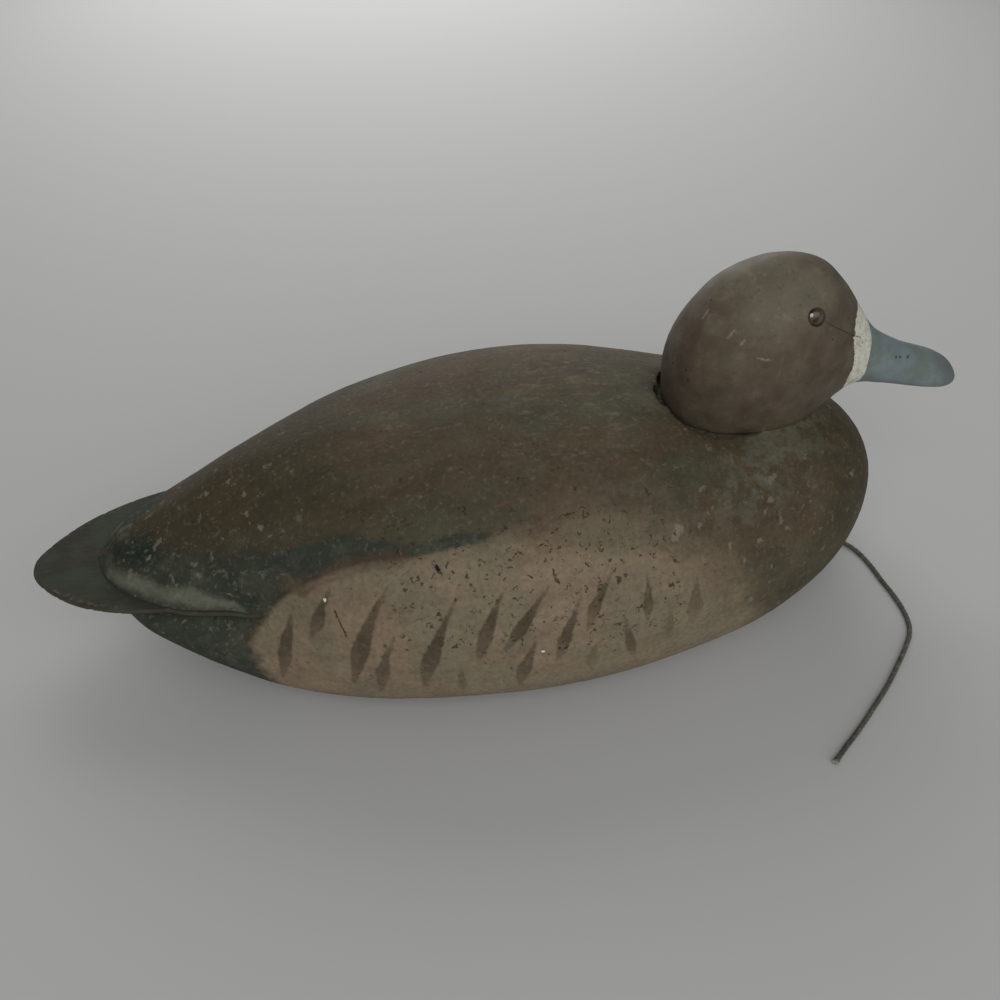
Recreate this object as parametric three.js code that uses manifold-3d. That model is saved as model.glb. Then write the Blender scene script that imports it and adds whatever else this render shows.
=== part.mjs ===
// Cork duck decoy: a hen bluebill carved in cork, with an inletted wooden head, two glass eyes,
// a thin wooden tail board let into the cork, and a short end of anchor line.
// Millimetres. +X points to the bill, +Z up, the floor is z = 0, and the origin is under mid length.
import * as THREE from "three";
import { mergeVertices } from "three/addons/utils/BufferGeometryUtils.js";
import Module from "manifold-3d";

const wasm = await Module();
wasm.setup();

// Driving dimensions
const gap = 0.3; // clearance between touching pieces

const body = {
  // half width at the widest height, from the rump's end to the breast
  plan: [
    [-196, 0], [-193, 12.5], [-186, 24.5], [-178, 34], [-165.5, 45], [-150.5, 54], [-128.5, 63.5],
    [-99.5, 76], [-66.5, 86.2], [-20, 93.5], [25, 94.5], [62, 89.5], [108.5, 77.3], [140, 63.2],
    [165, 46.5], [181, 29], [189.5, 13], [192, 0],
  ],
  // height of the back along the middle
  back: [
    [-196, 55.5], [-193, 59.5], [-182, 67], [-165, 74.8], [-148.5, 84.3], [-123.5, 98], [-90.5, 108.6],
    [-50, 114.2], [0, 117.2], [45, 115.6], [85, 108.5], [124.5, 101], [150, 96.3], [163, 91.3],
    [175, 83.2], [184, 72.3], [190, 59.5], [192, 48],
  ],
  // height at which the sides are widest
  belt: [
    [-196, 55], [-185.5, 53], [-165.5, 47], [-150.5, 42], [-128.5, 35.5], [-99.5, 31],
    [-15.5, 32], [60, 34], [120, 37.5], [160, 42], [192, 48],
  ],
  // height of the underside, flat in the middle and rising under the tail and the breast
  under: [
    [-196, 54], [-185.5, 48], [-178.5, 41], [-165.5, 29.5], [-150.5, 17.5], [-135, 7.5], [-122, 1.2],
    [-116, 0], [115, 0], [120, 0.6], [140, 4], [158, 11], [173, 21.5], [184, 32], [190, 41], [192, 48],
  ],
  // how square the upper section is: 2 is an ellipse, less is a gable
  fullness: [
    [-196, 1.4], [-150, 1.5], [-110, 1.7], [-60, 2.15], [-10, 2.4], [50, 2.35], [110, 2.15], [192, 2],
  ],
  bilge: 2.35, // how square the lower section is
  flatten: 1.1, // the section's depth before the underside is cut flat
  // depth of the hollow gouged along the rump above the tail board
  cove: [
    [-196, 2.5], [-175, 3.5], [-154.5, 2.5], [-139.5, 4.5], [-128.5, 6], [-113, 5.8], [-100, 4], [-84, 0], [192, 0],
  ],
  coveReach: 9,
  // how much wider the cork is under the tail board than above it
  flare: [
    [-196, 0], [-192, 3], [-184, 6], [-174, 4.2], [-160, 1.2], [-148, 0], [192, 0],
  ],
  flareReach: 4,
  coveMost: 0.3, // at most this share of the half width
  endInset: 0.15, // the end stations are small rings, not points
  stations: 46,
  sides: 44,
};

const board = {
  thickness: 3,
  tipHeight: 49.9, // middle of its thickness at the tip
  slope: 0.05, // rise towards the breast
  innerEnd: -116.5,
  proud: 0.5, // how far its edge stands out of the cork
  freeEnd: -154.5, // behind this the board is clear of the cork's sides
  outline: [
    [-227.2, 0], [-226, 5.8], [-223, 10.6], [-216.5, 17.8], [-208.5, 24.6], [-199.5, 30.3], [-190.5, 34.3],
    [-177.5, 38.6], [-154.5, 43.2],
  ],
  stations: 26,
  leastHalf: 0.5,
};

const head = {
  top: [
    [80, 122], [82, 135], [88, 148], [96.5, 159.2], [106.5, 169], [122.5, 175.5], [136, 175.5],
    [148, 171.3], [157, 162.9], [164.5, 153], [170, 145], [175, 137.8], [180.5, 131.7],
    [187.5, 126.8], [195.5, 122], [206.5, 117], [216.5, 112.2], [222.5, 108.2], [226.2, 103.2], [227.2, 100.6],
  ],
  bottom: [
    [80, 122], [81.5, 100], [85, 86], [94.5, 80], [134.5, 80], [147, 87], [154.5, 93],
    [161, 99.5], [168, 103.8], [174.5, 105], [184.5, 103.6], [200.5, 100.6], [213.5, 99.4],
    [221, 99.4], [225.6, 100], [227.2, 100.6],
  ],
  half: [
    [80, 0], [81, 9], [85, 16], [91.5, 21.8], [101.5, 26.7], [114.5, 28.5], [126.5, 28],
    [138.5, 25.5], [149.5, 21.8], [159.5, 17.3], [167.5, 13.9], [172.5, 12.4], [179.5, 11.2],
    [189.5, 10.7], [199.5, 11.3], [209.5, 12.2], [217, 11.7], [222.5, 9], [226.2, 4.4], [227.2, 0],
  ],
  cheek: [
    [80, 122], [90, 128], [134.5, 129], [149.5, 128], [159.5, 124], [172.5, 119.5], [184.5, 112.5],
    [200.5, 106], [213.5, 103], [227.2, 100.6],
  ],
  crownSquareness: 2,
  jawSquareness: 2.1,
  endInset: 0.1,
  stations: 44,
  sides: 32,
};

const seat = {
  backHeight: 103.5, // height of the seat's flat at the back of the head
  slope: 0.17, // it falls towards the breast
  clearance: 0.6,
  opening: { most: 2.7, full: 86, closed: 121 }, // the pocket stands open round the back of the head
  backClearance: 3.4, // the open gap behind the head
  backWidth: 0.85, // that gap's width, as a share of the pocket's
  front: 164, // the pocket closes here, under the chin
  frontNose: 2,
  frontWidth: 0.4,
  ceiling: 150,
  stations: 24,
};

const eye = {
  x: 137.7,
  height: 156.5,
  radius: 4,
  thickness: 4,
  hollow: { x: 138.8, height: 157.5, radius: 5, thickness: 6.4, sunk: 0 },
  sunk: 0.6,
  around: 18,
  rows: 10,
};

const line = {
  radius: 1.25,
  sides: 8,
  steps: 38,
  holeRadius: 2.2,
  holeLength: 30,
  holeSides: 16,
  route: [
    [149, -2.6, 15.4], [156, -2.9, 11.6], [163, -3.4, 8.4], [169, -4.6, 5.8], [175.5, -7, 3.2], [182, -11, 1.7],
    [187.5, -15.5, 1.3], [191.5, -23, 1.3], [194, -34, 1.3], [195.2, -44.6, 1.3], [196.7, -54, 1.3],
    [197.2, -64.8, 1.3], [196.2, -73.2, 1.3], [193.6, -79.6, 1.3], [188.6, -86.4, 1.3],
    [179.5, -96.6, 1.3], [169.2, -107.3, 1.3], [158.1, -117.3, 1.3], [145.7, -128.1, 1.3],
    [136.2, -135.6, 1.3], [128.3, -142.2, 1.3],
  ],
};

// A smooth curve through points, read as a function: the second number at a given x.
function through(points) {
  const curve = new THREE.CatmullRomCurve3(
    points.map(([x, value]) => new THREE.Vector3(x, value, 0)),
    false,
    "centripetal",
  );
  const samples = curve.getPoints(points.length * 24);
  return (x) => {
    if (x <= samples[0].x) return samples[0].y;
    for (let i = 1; i < samples.length; i++) {
      if (samples[i].x < x) continue;
      const step = samples[i].x - samples[i - 1].x;
      const part = step > 1e-9 ? (x - samples[i - 1].x) / step : 1;
      return THREE.MathUtils.lerp(samples[i - 1].y, samples[i].y, part);
    }
    return samples[samples.length - 1].y;
  };
}

// Stations from end to end, closer together towards both ends, where the form turns.
function spaced(from, to, count) {
  const middle = (from + to) / 2;
  const reach = (to - from) / 2;
  return Array.from({ length: count + 1 }, (_, i) => {
    const turn = -Math.cos((Math.PI * i) / count);
    const even = (2 * i) / count - 1;
    return middle + reach * (0.72 * turn + 0.28 * even);
  });
}

// A closed skin over rings of points, with each end drawn to the ring's own middle.
function loft(rings) {
  const count = rings[0].length;
  const ends = [rings[0], rings[rings.length - 1]].map((ring) =>
    ring.reduce((sum, p) => sum.add(p), new THREE.Vector3()).divideScalar(count),
  );
  const vertices = [...rings.flat(), ...ends];
  const faces = [];
  const first = vertices.length - 2;
  const last = (rings.length - 1) * count;
  for (let j = 0; j < count; j++) {
    const next = (j + 1) % count;
    faces.push(first, next, j, first + 1, last + j, last + next);
    for (let i = 0; i < rings.length - 1; i++) {
      const [a, b] = [i * count + j, i * count + next];
      const [c, d] = [a + count, b + count];
      faces.push(a, b, c, b, d, c);
    }
  }
  const geometry = new THREE.BufferGeometry().setFromPoints(vertices);
  geometry.setIndex(faces);
  return geometry;
}

function toSolid(geometry) {
  const bare = geometry.clone();
  bare.deleteAttribute("normal");
  bare.deleteAttribute("uv");
  const merged = mergeVertices(bare, 1e-4);
  const solid = new wasm.Manifold(
    new wasm.Mesh({
      numProp: 3,
      vertProperties: new Float32Array(merged.attributes.position.array),
      triVerts: new Uint32Array(merged.index.array),
    }),
  );
  if (solid.volume() < 0) throw new Error("a solid is inside out");
  return solid;
}

function toGeometry(solid) {
  const mesh = solid.getMesh();
  const geometry = new THREE.BufferGeometry();
  const positions = [];
  for (let i = 0; i < mesh.numVert; i++) {
    positions.push(...mesh.vertProperties.slice(i * mesh.numProp, i * mesh.numProp + 3));
  }
  geometry.setAttribute("position", new THREE.Float32BufferAttribute(positions, 3));
  geometry.setIndex([...mesh.triVerts]);
  geometry.computeVertexNormals();
  return geometry;
}

const power = (value, exponent) => Math.sign(value) * Math.abs(value) ** exponent;

// The cork body
const bodyAt = {
  half: through(body.plan),
  back: through(body.back),
  belt: through(body.belt),
  under: through(body.under),
  cove: through(body.cove),
  flare: through(body.flare),
  fullness: through(body.fullness),
};
const boardMiddle = (x) => board.tipHeight + board.slope * (x - board.outline[0][0]);

// How far the hollow above the tail board cuts into the side at a height.
function cove(x, z) {
  const above = (z - boardMiddle(x) - board.thickness) / body.coveReach;
  return THREE.MathUtils.clamp(bodyAt.cove(x), 0, body.coveMost * bodyAt.half(x)) * Math.exp(-above * above);
}

// How far the cork stands out below the tail board.
function flare(x, z) {
  const below = Math.max(boardMiddle(x) - z, 0) / body.flareReach;
  return Math.max(bodyAt.flare(x), 0) * (1 - Math.exp(-below * below));
}

function bodySection(x) {
  const [half, back, belt] = [bodyAt.half(x), bodyAt.back(x), bodyAt.belt(x)];
  const under = Math.max(bodyAt.under(x), 0);
  const full = 2 / bodyAt.fullness(x);
  return Array.from({ length: body.sides }, (_, i) => {
    const angle = (2 * Math.PI * i) / body.sides;
    const [c, s] = [Math.cos(angle), Math.sin(angle)];
    const upper = s >= 0;
    const shape = upper ? full : 2 / body.bilge;
    const reach = upper ? back - belt : (belt - under) * body.flatten;
    const z = Math.max(belt + reach * power(s, shape), under);
    const y = half * power(c, shape) + (flare(x, z) - cove(x, z)) * c;
    return new THREE.Vector3(x, y, z);
  });
}

// Half width of the cork at a height above its widest line.
function corkHalf(x, z) {
  const [half, back, belt] = [bodyAt.half(x), bodyAt.back(x), bodyAt.belt(x)];
  const full = bodyAt.fullness(x);
  const rise = THREE.MathUtils.clamp((z - belt) / (back - belt), 0, 1);
  const c = Math.sqrt(1 - rise ** full);
  return half * c ** (2 / full) - cove(x, z) * c;
}

function ends(points) {
  return [points[0][0], points[points.length - 1][0]];
}

function corkBlank() {
  const [from, to] = ends(body.plan);
  const stations = spaced(from + body.endInset, to - body.endInset, body.stations);
  return toSolid(loft(stations.map(bodySection)));
}

// The tail board: a flat board whose edge follows the cork where it is let in.
const boardOutline = through(board.outline);
function boardHalf(x) {
  if (x < board.freeEnd) return boardOutline(x);
  return corkHalf(x, boardMiddle(x)) + board.proud;
}

function tailBoard() {
  const tip = board.outline[0][0];
  const along = spaced(tip, board.innerEnd, board.stations).slice(1);
  const side = along.map((x) => [x, Math.max(boardHalf(x), board.leastHalf)]);
  const edge = [[tip, 0], ...side, ...side.map(([x, y]) => [x, -y]).reverse()];
  const ring = (offset) => edge.map(([x, y]) => new THREE.Vector3(x, y, boardMiddle(x) + offset));
  return toSolid(loft([ring(board.thickness / 2), ring(-board.thickness / 2)]));
}

function boardSlot() {
  const margin = 20;
  const from = board.outline[0][0] - margin;
  const to = board.innerEnd + gap;
  const wide = 2 * body.plan[8][1];
  const length = (to - from) / Math.cos(Math.atan(board.slope));
  const slab = new THREE.BoxGeometry(length, wide, board.thickness + 2 * gap);
  slab.rotateY(-Math.atan(board.slope));
  slab.translate((from + to) / 2, 0, boardMiddle((from + to) / 2));
  return toSolid(slab);
}

// The wooden head with its bill, one carving
const headAt = {
  top: through(head.top),
  bottom: through(head.bottom),
  half: through(head.half),
  cheek: through(head.cheek),
};

function headSection(x) {
  const [top, bottom, half, cheek] = [headAt.top(x), headAt.bottom(x), headAt.half(x), headAt.cheek(x)];
  return Array.from({ length: head.sides }, (_, i) => {
    const angle = (2 * Math.PI * i) / head.sides;
    const [c, s] = [Math.cos(angle), Math.sin(angle)];
    const shape = 2 / (s >= 0 ? head.crownSquareness : head.jawSquareness);
    const reach = s >= 0 ? top - cheek : cheek - bottom;
    return new THREE.Vector3(x, half * power(c, shape), cheek + reach * power(s, shape));
  });
}

function headBlank() {
  const [from, to] = ends(head.top);
  const stations = spaced(from + head.endInset, to - head.endInset, head.stations);
  return toSolid(loft(stations.map(headSection)));
}

// Half width of the head at a height, nought outside it.
function headHalf(x, z) {
  const cheek = headAt.cheek(x);
  const above = z > cheek;
  const reach = above ? headAt.top(x) - cheek : cheek - headAt.bottom(x);
  const shape = above ? head.crownSquareness : head.jawSquareness;
  const part = Math.abs(z - cheek) / reach;
  return part >= 1 ? 0 : headAt.half(x) * (1 - part ** shape) ** (1 / shape);
}

const seatHeight = (x) => seat.backHeight - seat.slope * (x - head.top[0][0]);

function belowSeat() {
  const size = 2 * head.top[0][0] + 100;
  const under = new THREE.BoxGeometry(size, size, size);
  under.translate(0, 0, -size / 2);
  under.rotateY(Math.atan(seat.slope));
  const x = head.top[0][0];
  under.translate(x, 0, seatHeight(x));
  return toSolid(under);
}

// The pocket that the head sits in, a little larger than the head and open behind it.
function headPocket() {
  const [back] = ends(head.top);
  const { most, full, closed } = seat.opening;
  const side = [];
  for (const x of spaced(back + 2 * head.endInset, seat.front, seat.stations)) {
    const half = headHalf(x, bodyAt.back(x) + 1);
    const open = most * (1 - THREE.MathUtils.smoothstep(x, full, closed));
    if (half > 1) side.push([x, half + seat.clearance + open]);
  }
  const [x0, y0] = side[0];
  const [x1, y1] = side[side.length - 1];
  const nose = [x1 + seat.frontNose, y1 * seat.frontWidth];
  const heel = [x0 - seat.backClearance, y0 * seat.backWidth];
  const mirrored = ([x, y]) => [x, -y];
  const outline = [...side, nose, mirrored(nose), ...side.map(mirrored).reverse(), mirrored(heel), heel];
  const floor = outline.map(([x, y]) => new THREE.Vector3(x, y, seatHeight(x) - gap));
  const roof = outline.map(([x, y]) => new THREE.Vector3(x, y, seat.ceiling));
  return toSolid(loft([roof, floor]));
}

// A ball pressed along Y, on the side of the head.
function ball({ x, height, radius, thickness, sunk }, side, room = 0) {
  const shape = new THREE.SphereGeometry(radius + room, eye.around, eye.rows);
  shape.scale(1, (thickness / 2 + room) / (radius + room), 1);
  shape.translate(x, -side * (headHalf(x, height) - sunk), height);
  return toSolid(shape);
}

// The end of anchor line, out of a small hole low in the breast
const cordPath = new THREE.CatmullRomCurve3(
  line.route.map(([x, y, z]) => new THREE.Vector3(x, y, z)),
  false,
  "centripetal",
);

function anchorLine() {
  const section = new THREE.Shape();
  for (let i = 0; i < line.sides; i++) {
    const angle = (2 * Math.PI * i) / line.sides;
    const [x, y] = [line.radius * Math.cos(angle), line.radius * Math.sin(angle)];
    if (i === 0) section.moveTo(x, y);
    else section.lineTo(x, y);
  }
  section.closePath();
  return toSolid(new THREE.ExtrudeGeometry(section, { steps: line.steps, extrudePath: cordPath }));
}

function lineHole() {
  const start = cordPath.getPoint(0);
  const out = cordPath.getTangent(0);
  const { holeRadius, holeLength, holeSides } = line;
  const hole = new THREE.CylinderGeometry(holeRadius, holeRadius, holeLength, holeSides);
  hole.applyQuaternion(new THREE.Quaternion().setFromUnitVectors(new THREE.Vector3(0, 1, 0), out));
  const middle = start.clone().addScaledVector(out, holeLength / 2 - gap);
  hole.translate(middle.x, middle.y, middle.z);
  return toSolid(hole);
}

// Assembly
const finish = {
  cork: new THREE.MeshStandardMaterial({ color: 0x5a4e42, roughness: 0.85, metalness: 0 }),
  wood: new THREE.MeshStandardMaterial({ color: 0x574b42, roughness: 0.7, metalness: 0 }),
  board: new THREE.MeshStandardMaterial({ color: 0x343630, roughness: 0.75, metalness: 0 }),
  glass: new THREE.MeshStandardMaterial({ color: 0x5a3a14, roughness: 0.1, metalness: 0 }),
  line: new THREE.MeshStandardMaterial({ color: 0x3f3f38, roughness: 0.9, metalness: 0 }),
};

function piece(name, solid, material) {
  const mesh = new THREE.Mesh(toGeometry(solid), material);
  mesh.name = name;
  return mesh;
}

const sides = { right: 1, left: -1 };
const hollows = Object.values(sides).flatMap((side) => [ball(eye.hollow, side), ball(eye, side, gap)]);
const carving = hollows.reduce(
  (solid, hollow) => solid.subtract(hollow),
  headBlank(),
);

const decoy = new THREE.Group();
decoy.add(
  piece("body", corkBlank().subtract(boardSlot()).subtract(headPocket()).subtract(lineHole()), finish.cork),
  piece("tail_board", tailBoard(), finish.board),
  piece("head", carving.subtract(belowSeat()), finish.wood),
  piece("anchor_line", anchorLine(), finish.line),
);
for (const [name, side] of Object.entries(sides)) {
  decoy.add(piece(`eye_${name}`, ball(eye, side), finish.glass));
}

export default decoy;
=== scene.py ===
# Looks of a cork duck decoy: painted cork body, painted wooden head, tail board, glass eyes, anchor line.
# The dictionaries hold millimetres, but the camera's and the lamps' hold metres, as the scene does.
import math

import bmesh
import bpy
import numpy as np
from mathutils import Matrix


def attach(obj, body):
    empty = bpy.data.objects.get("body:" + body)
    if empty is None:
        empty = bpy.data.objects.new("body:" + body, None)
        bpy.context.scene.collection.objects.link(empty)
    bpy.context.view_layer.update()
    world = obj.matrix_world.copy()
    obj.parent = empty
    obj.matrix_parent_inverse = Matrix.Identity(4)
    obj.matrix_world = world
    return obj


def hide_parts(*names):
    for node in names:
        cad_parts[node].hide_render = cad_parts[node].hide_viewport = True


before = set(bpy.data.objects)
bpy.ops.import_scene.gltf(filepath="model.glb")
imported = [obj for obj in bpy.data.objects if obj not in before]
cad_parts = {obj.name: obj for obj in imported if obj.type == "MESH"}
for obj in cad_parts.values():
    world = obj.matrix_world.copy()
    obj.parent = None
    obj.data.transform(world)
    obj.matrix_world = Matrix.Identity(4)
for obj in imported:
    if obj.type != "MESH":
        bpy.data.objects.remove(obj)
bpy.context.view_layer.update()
print("frame loaded:", ", ".join(sorted(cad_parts)))

mm = 0.001
even = (1, 1, 1)  # for a pattern that isn't stretched
lengthwise = (0.45, 1, 1)  # for patches that lie along the body


# Small helpers
def srgb(code):
    channels = [int(code[i:i + 2], 16) / 255 for i in (1, 3, 5)]
    return [c / 12.92 if c <= 0.04045 else ((c + 0.055) / 1.055) ** 2.4 for c in channels] + [1.0]


def addNode(tree, kind, links=None, output=0, **settings):
    # a node with its settings, its inputs linked or filled in, and one of its outputs handed back
    node = tree.nodes.new(kind)
    for name, value in settings.items():
        setattr(node, name, value)
    for key, value in (links or {}).items():
        socket = node.inputs[key]
        if isinstance(value, bpy.types.NodeSocket):
            tree.links.new(value, socket)
        else:
            socket.default_value = value
    return node.outputs[output] if node.outputs else node


def throughAll(points, samples):
    # the centripetal curve that passes through all the points
    p = np.array(points, float)
    p = np.vstack([2 * p[0] - p[1], p, 2 * p[-1] - p[-2]])
    t = np.linspace(0, 1, samples + 1)[:, None]
    runs = []
    for a, b, c, d in zip(p, p[1:], p[2:], p[3:]):
        ab, bc, cd = [math.sqrt(max(np.linalg.norm(v - u), 1e-6)) for u, v in ((a, b), (b, c), (c, d))]
        start = ((b - a) / ab - (c - a) / (ab + bc) + (c - b) / bc) * bc
        stop = ((c - b) / bc - (d - b) / (bc + cd) + (d - c) / cd) * bc
        ease = (3 * (c - b) - 2 * start - stop) * t**2 + (2 * (b - c) + start + stop) * t**3
        runs.append(b + start * t + ease)
    return np.vstack(runs)


def through(points):
    # the same curve, read as a function of its first number
    curve = throughAll(points, 24)
    along = np.maximum.accumulate(curve[:, 0])
    return lambda x: np.interp(x, along, curve[:, 1])


def spaced(start, stop, count, turned=0.6):
    # stations from end to end, closer together towards both ends
    regular = np.linspace(-1, 1, count)
    turn = -np.cos(np.pi * (regular + 1) / 2)
    return (start + stop) / 2 + (stop - start) / 2 * (turned * turn + (1 - turned) * regular)


def halfTurn(count):
    # how far out and how far up the points of a half circle lie, from its top to its bottom
    angle = np.linspace(math.pi / 2, -math.pi / 2, count)
    return np.abs(np.cos(angle)), np.sin(angle)


def power(value, exponent):
    return np.sign(value) * np.abs(value) ** exponent


def smoothStep(values, low, high):
    t = np.clip((values - low) / (high - low), 0, 1)
    return t * t * (3 - 2 * t)


def hump(*spans):
    # 1 where all the values are at their middles, and nearly 0 at twice their widths
    return np.exp(-sum(((values - middle) / width) ** 2 for values, middle, width in spans))


def evenly(points, count, weight=None):
    # the same line with its points a like distance apart
    step = np.linalg.norm(np.diff(points, axis=0), axis=1)
    if weight is not None:
        step = step * (weight[1:] + weight[:-1]) / 2
    length = np.concatenate([[0], np.cumsum(step)])
    at = np.linspace(0, length[-1], count)
    return np.stack([np.interp(at, length, points[:, k]) for k in range(points.shape[1])], axis=1)


def toLine(points, line):
    # how far each point is from a line, and how far along the line the nearest place is, from 0 to 1
    line = np.array(line, float)
    steps = np.diff(line, axis=0)
    lengths = np.linalg.norm(steps, axis=1)
    before = np.concatenate([[0], np.cumsum(lengths)])
    best = np.full(len(points), 1e9)
    along = np.zeros(len(points))
    for start, step, length, done in zip(line, steps, lengths, before):
        t = np.clip(((points - start) @ step) / length**2, 0, 1)
        gap = np.linalg.norm(points - start - t[:, None] * step, axis=1)
        nearer = gap < best
        best = np.where(nearer, gap, best)
        along = np.where(nearer, (done + t * length) / before[-1], along)
    return best, along


def inside(points, outline):
    # how far each point is inside a closed outline, negative outside it
    outline = np.array(outline, float)
    gap, _ = toLine(points, np.vstack([outline, outline[:1]]))
    x, z = points.T
    crossed = np.zeros(len(points), bool)
    for (x0, z0), (x1, z1) in zip(outline, np.roll(outline, -1, axis=0)):
        at = (x1 - x0) * (z - z0) / (z1 - z0 if z1 != z0 else 1e-9) + x0
        crossed ^= ((z0 > z) != (z1 > z)) & (x < at)
    return np.where(crossed, gap, -gap)


def placed(name, data):
    thing = bpy.data.objects.new(name, data)
    bpy.context.scene.collection.objects.link(thing)
    return thing


def solid(name, vertices, faces):
    # an object from corners in millimetres
    mesh = bpy.data.meshes.new(name)
    mesh.from_pydata((np.array(vertices) * mm).tolist(), [], faces)
    return placed(name, mesh)


def loft(name, halves):
    # a closed skin: each station is the line from top to bottom on the +Y side, mirrored to make a ring
    halves = np.array(halves)
    rings = np.concatenate([halves, halves[:, -2:0:-1] * [1, -1, 1]], axis=1)
    stations, around = rings.shape[:2]
    index = np.arange(stations * around).reshape(stations, around)
    beside = np.roll(index, -1, axis=1)
    quads = np.stack([index[:-1], index[1:], beside[1:], beside[:-1]], axis=-1).reshape(-1, 4)
    first, last = stations * around, stations * around + 1
    caps = [[first, a, b] for a, b in zip(index[0], beside[0])]
    caps += [[last, b, a] for a, b in zip(index[-1], beside[-1])]
    vertices = np.vstack([rings.reshape(-1, 3), rings[0].mean(axis=0), rings[-1].mean(axis=0)])
    return solid(name, vertices, quads.tolist() + caps)


def prism(name, outline, low, high):
    # an upright block over an outline, its floor and roof heights given as functions of x
    outline = np.array(outline)
    count = len(outline)
    top = np.column_stack([outline, [high(x) for x in outline[:, 0]]])
    bottom = np.column_stack([outline, [low(x) for x in outline[:, 0]]])
    faces = []
    for i in range(count):
        j = (i + 1) % count
        faces += [[i, i + count, j + count, j], [2 * count, i, j], [2 * count + 1, j + count, i + count]]
    return outward(solid(name, np.vstack([top, bottom, top.mean(axis=0), bottom.mean(axis=0)]), faces))


def outward(thing):
    shape = bmesh.new()
    shape.from_mesh(thing.data)
    bmesh.ops.recalc_face_normals(shape, faces=shape.faces)
    shape.to_mesh(thing.data)
    shape.free()
    return thing


def settled(thing):
    # a plain mesh object in place of one with modifiers
    name = thing.name
    bpy.context.view_layer.update()
    depsgraph = bpy.context.evaluated_depsgraph_get()
    mesh = bpy.data.meshes.new_from_object(thing.evaluated_get(depsgraph))
    bpy.data.objects.remove(thing)
    return placed(name, mesh)


def cutWith(thing, cutters):
    for cutter in cutters:
        step = thing.modifiers.new("cut", "BOOLEAN")
        step.operation = "DIFFERENCE"
        step.solver = "MANIFOLD"
        step.object = cutter
    thing = settled(thing)
    for cutter in cutters:
        bpy.data.objects.remove(cutter)
    # slivers left by the cuts fold flat into faces back to back, so both of each pair go
    form = bmesh.new()
    form.from_mesh(thing.data)
    bmesh.ops.remove_doubles(form, verts=form.verts, dist=0.0001 * mm)
    bmesh.ops.triangulate(form, faces=[face for face in form.faces if len(face.verts) > 4])
    pairs = {}
    for face in form.faces:
        pairs.setdefault(frozenset(vertex.index for vertex in face.verts), []).append(face)
    folded = [face for pair in pairs.values() if len(pair) > 1 for face in pair]
    bmesh.ops.delete(form, geom=folded, context="FACES")
    form.to_mesh(thing.data)
    form.free()
    return thing


def newTree(name, floats, others):
    # a Geometry Nodes tree with named inputs
    tree = bpy.data.node_groups.new(name, "GeometryNodeTree")
    kinds = {"Geometry": "Geometry"} | dict.fromkeys(floats, "Float") | others
    for title, kind in kinds.items():
        tree.interface.new_socket(title, in_out="INPUT", socket_type="NodeSocket" + kind)
    tree.interface.new_socket("Geometry", in_out="OUTPUT", socket_type="NodeSocketGeometry")
    return tree, addNode(tree, "NodeGroupInput").node.outputs


def closeTree(tree, geometry, material):
    real = addNode(tree, "GeometryNodeRealizeInstances", {"Geometry": geometry})
    painted = addNode(tree, "GeometryNodeSetMaterial", {"Geometry": real, "Material": material})
    addNode(tree, "NodeGroupOutput", {"Geometry": painted})
    return tree


def roughened(tree, places, height, scale, depth, detail):
    # a height with noise added to it, half of the depth up and half down
    noise = addNode(tree, "ShaderNodeTexNoise", {"Vector": places, "Scale": scale, "Detail": detail})
    noise = addNode(tree, "ShaderNodeMath", {0: noise, 1: 0.5}, operation="SUBTRACT")
    return addNode(tree, "ShaderNodeMath", {0: noise, 1: depth, 2: height}, operation="MULTIPLY_ADD")


def raised(tree, geometry, height):
    # the surface moved out along its normal by a height
    normal = addNode(tree, "GeometryNodeInputNormal")
    offset = addNode(tree, "ShaderNodeVectorMath", {0: normal, "Scale": height}, operation="SCALE")
    return addNode(tree, "GeometryNodeSetPosition", {"Geometry": geometry, "Offset": offset})


def growBy(thing, tree, values):
    # each input is set by its socket's identifier before the object is first evaluated
    step = thing.modifiers.new(tree.name, "NODES")
    step.node_group = tree
    for item in tree.interface.items_tree:
        if item.in_out == "INPUT" and item.name in values:
            step[item.identifier] = values[item.name]
    return settled(thing)


def placesOf(mesh):
    places = np.zeros(len(mesh.vertices) * 3)
    mesh.vertices.foreach_get("co", places)
    return places.reshape(-1, 3) / mm


def storeWeight(mesh, name, values):
    attribute = mesh.attributes.new(name, "FLOAT", "POINT")
    attribute.data.foreach_set("value", np.asarray(values, np.float32))


def smooth(thing, angle):
    thing.data.shade_smooth()
    thing.data.set_sharp_from_angle(angle=math.radians(angle))


def keep(thing, node, material=None):
    # the piece stands for its CAD node
    if material:
        thing.data.materials.clear()
        thing.data.materials.append(material)
    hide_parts(node)
    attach(thing, "root")
    print(thing.name + ":", len(thing.data.vertices), "vertices")


# Paint helpers, used on every finish
def newFinish(name, codes):
    # an empty material, its tree, and its colours by name
    material = bpy.data.materials.new(name)
    material.use_nodes = True
    material.node_tree.nodes.clear()
    return material, material.node_tree, {key: srgb(code) for key, code in codes.items()}


def closeFinish(tree, looks, height=None, bump=0.0):
    # the shader with its looks, and where a height is given, a fine relief half a millimetre deep
    if height:
        looks["Normal"] = addNode(tree, "ShaderNodeBump", {"Height": height, "Strength": bump,
                                                           "Distance": 0.5 * mm})
    shader = addNode(tree, "ShaderNodeBsdfPrincipled", looks)
    addNode(tree, "ShaderNodeOutputMaterial", {"Surface": shader})


def weighed(tree, weight):
    # a stored weight by its name, or as (name, times, plus); a number or a socket stays as it is
    if isinstance(weight, str):
        return addNode(tree, "ShaderNodeAttribute", output="Fac", attribute_name=weight)
    if isinstance(weight, tuple):
        name, times, plus = weight
        return addNode(tree, "ShaderNodeMath", {0: weighed(tree, name), 1: times, 2: plus},
                       operation="MULTIPLY_ADD")
    return weight


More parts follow.
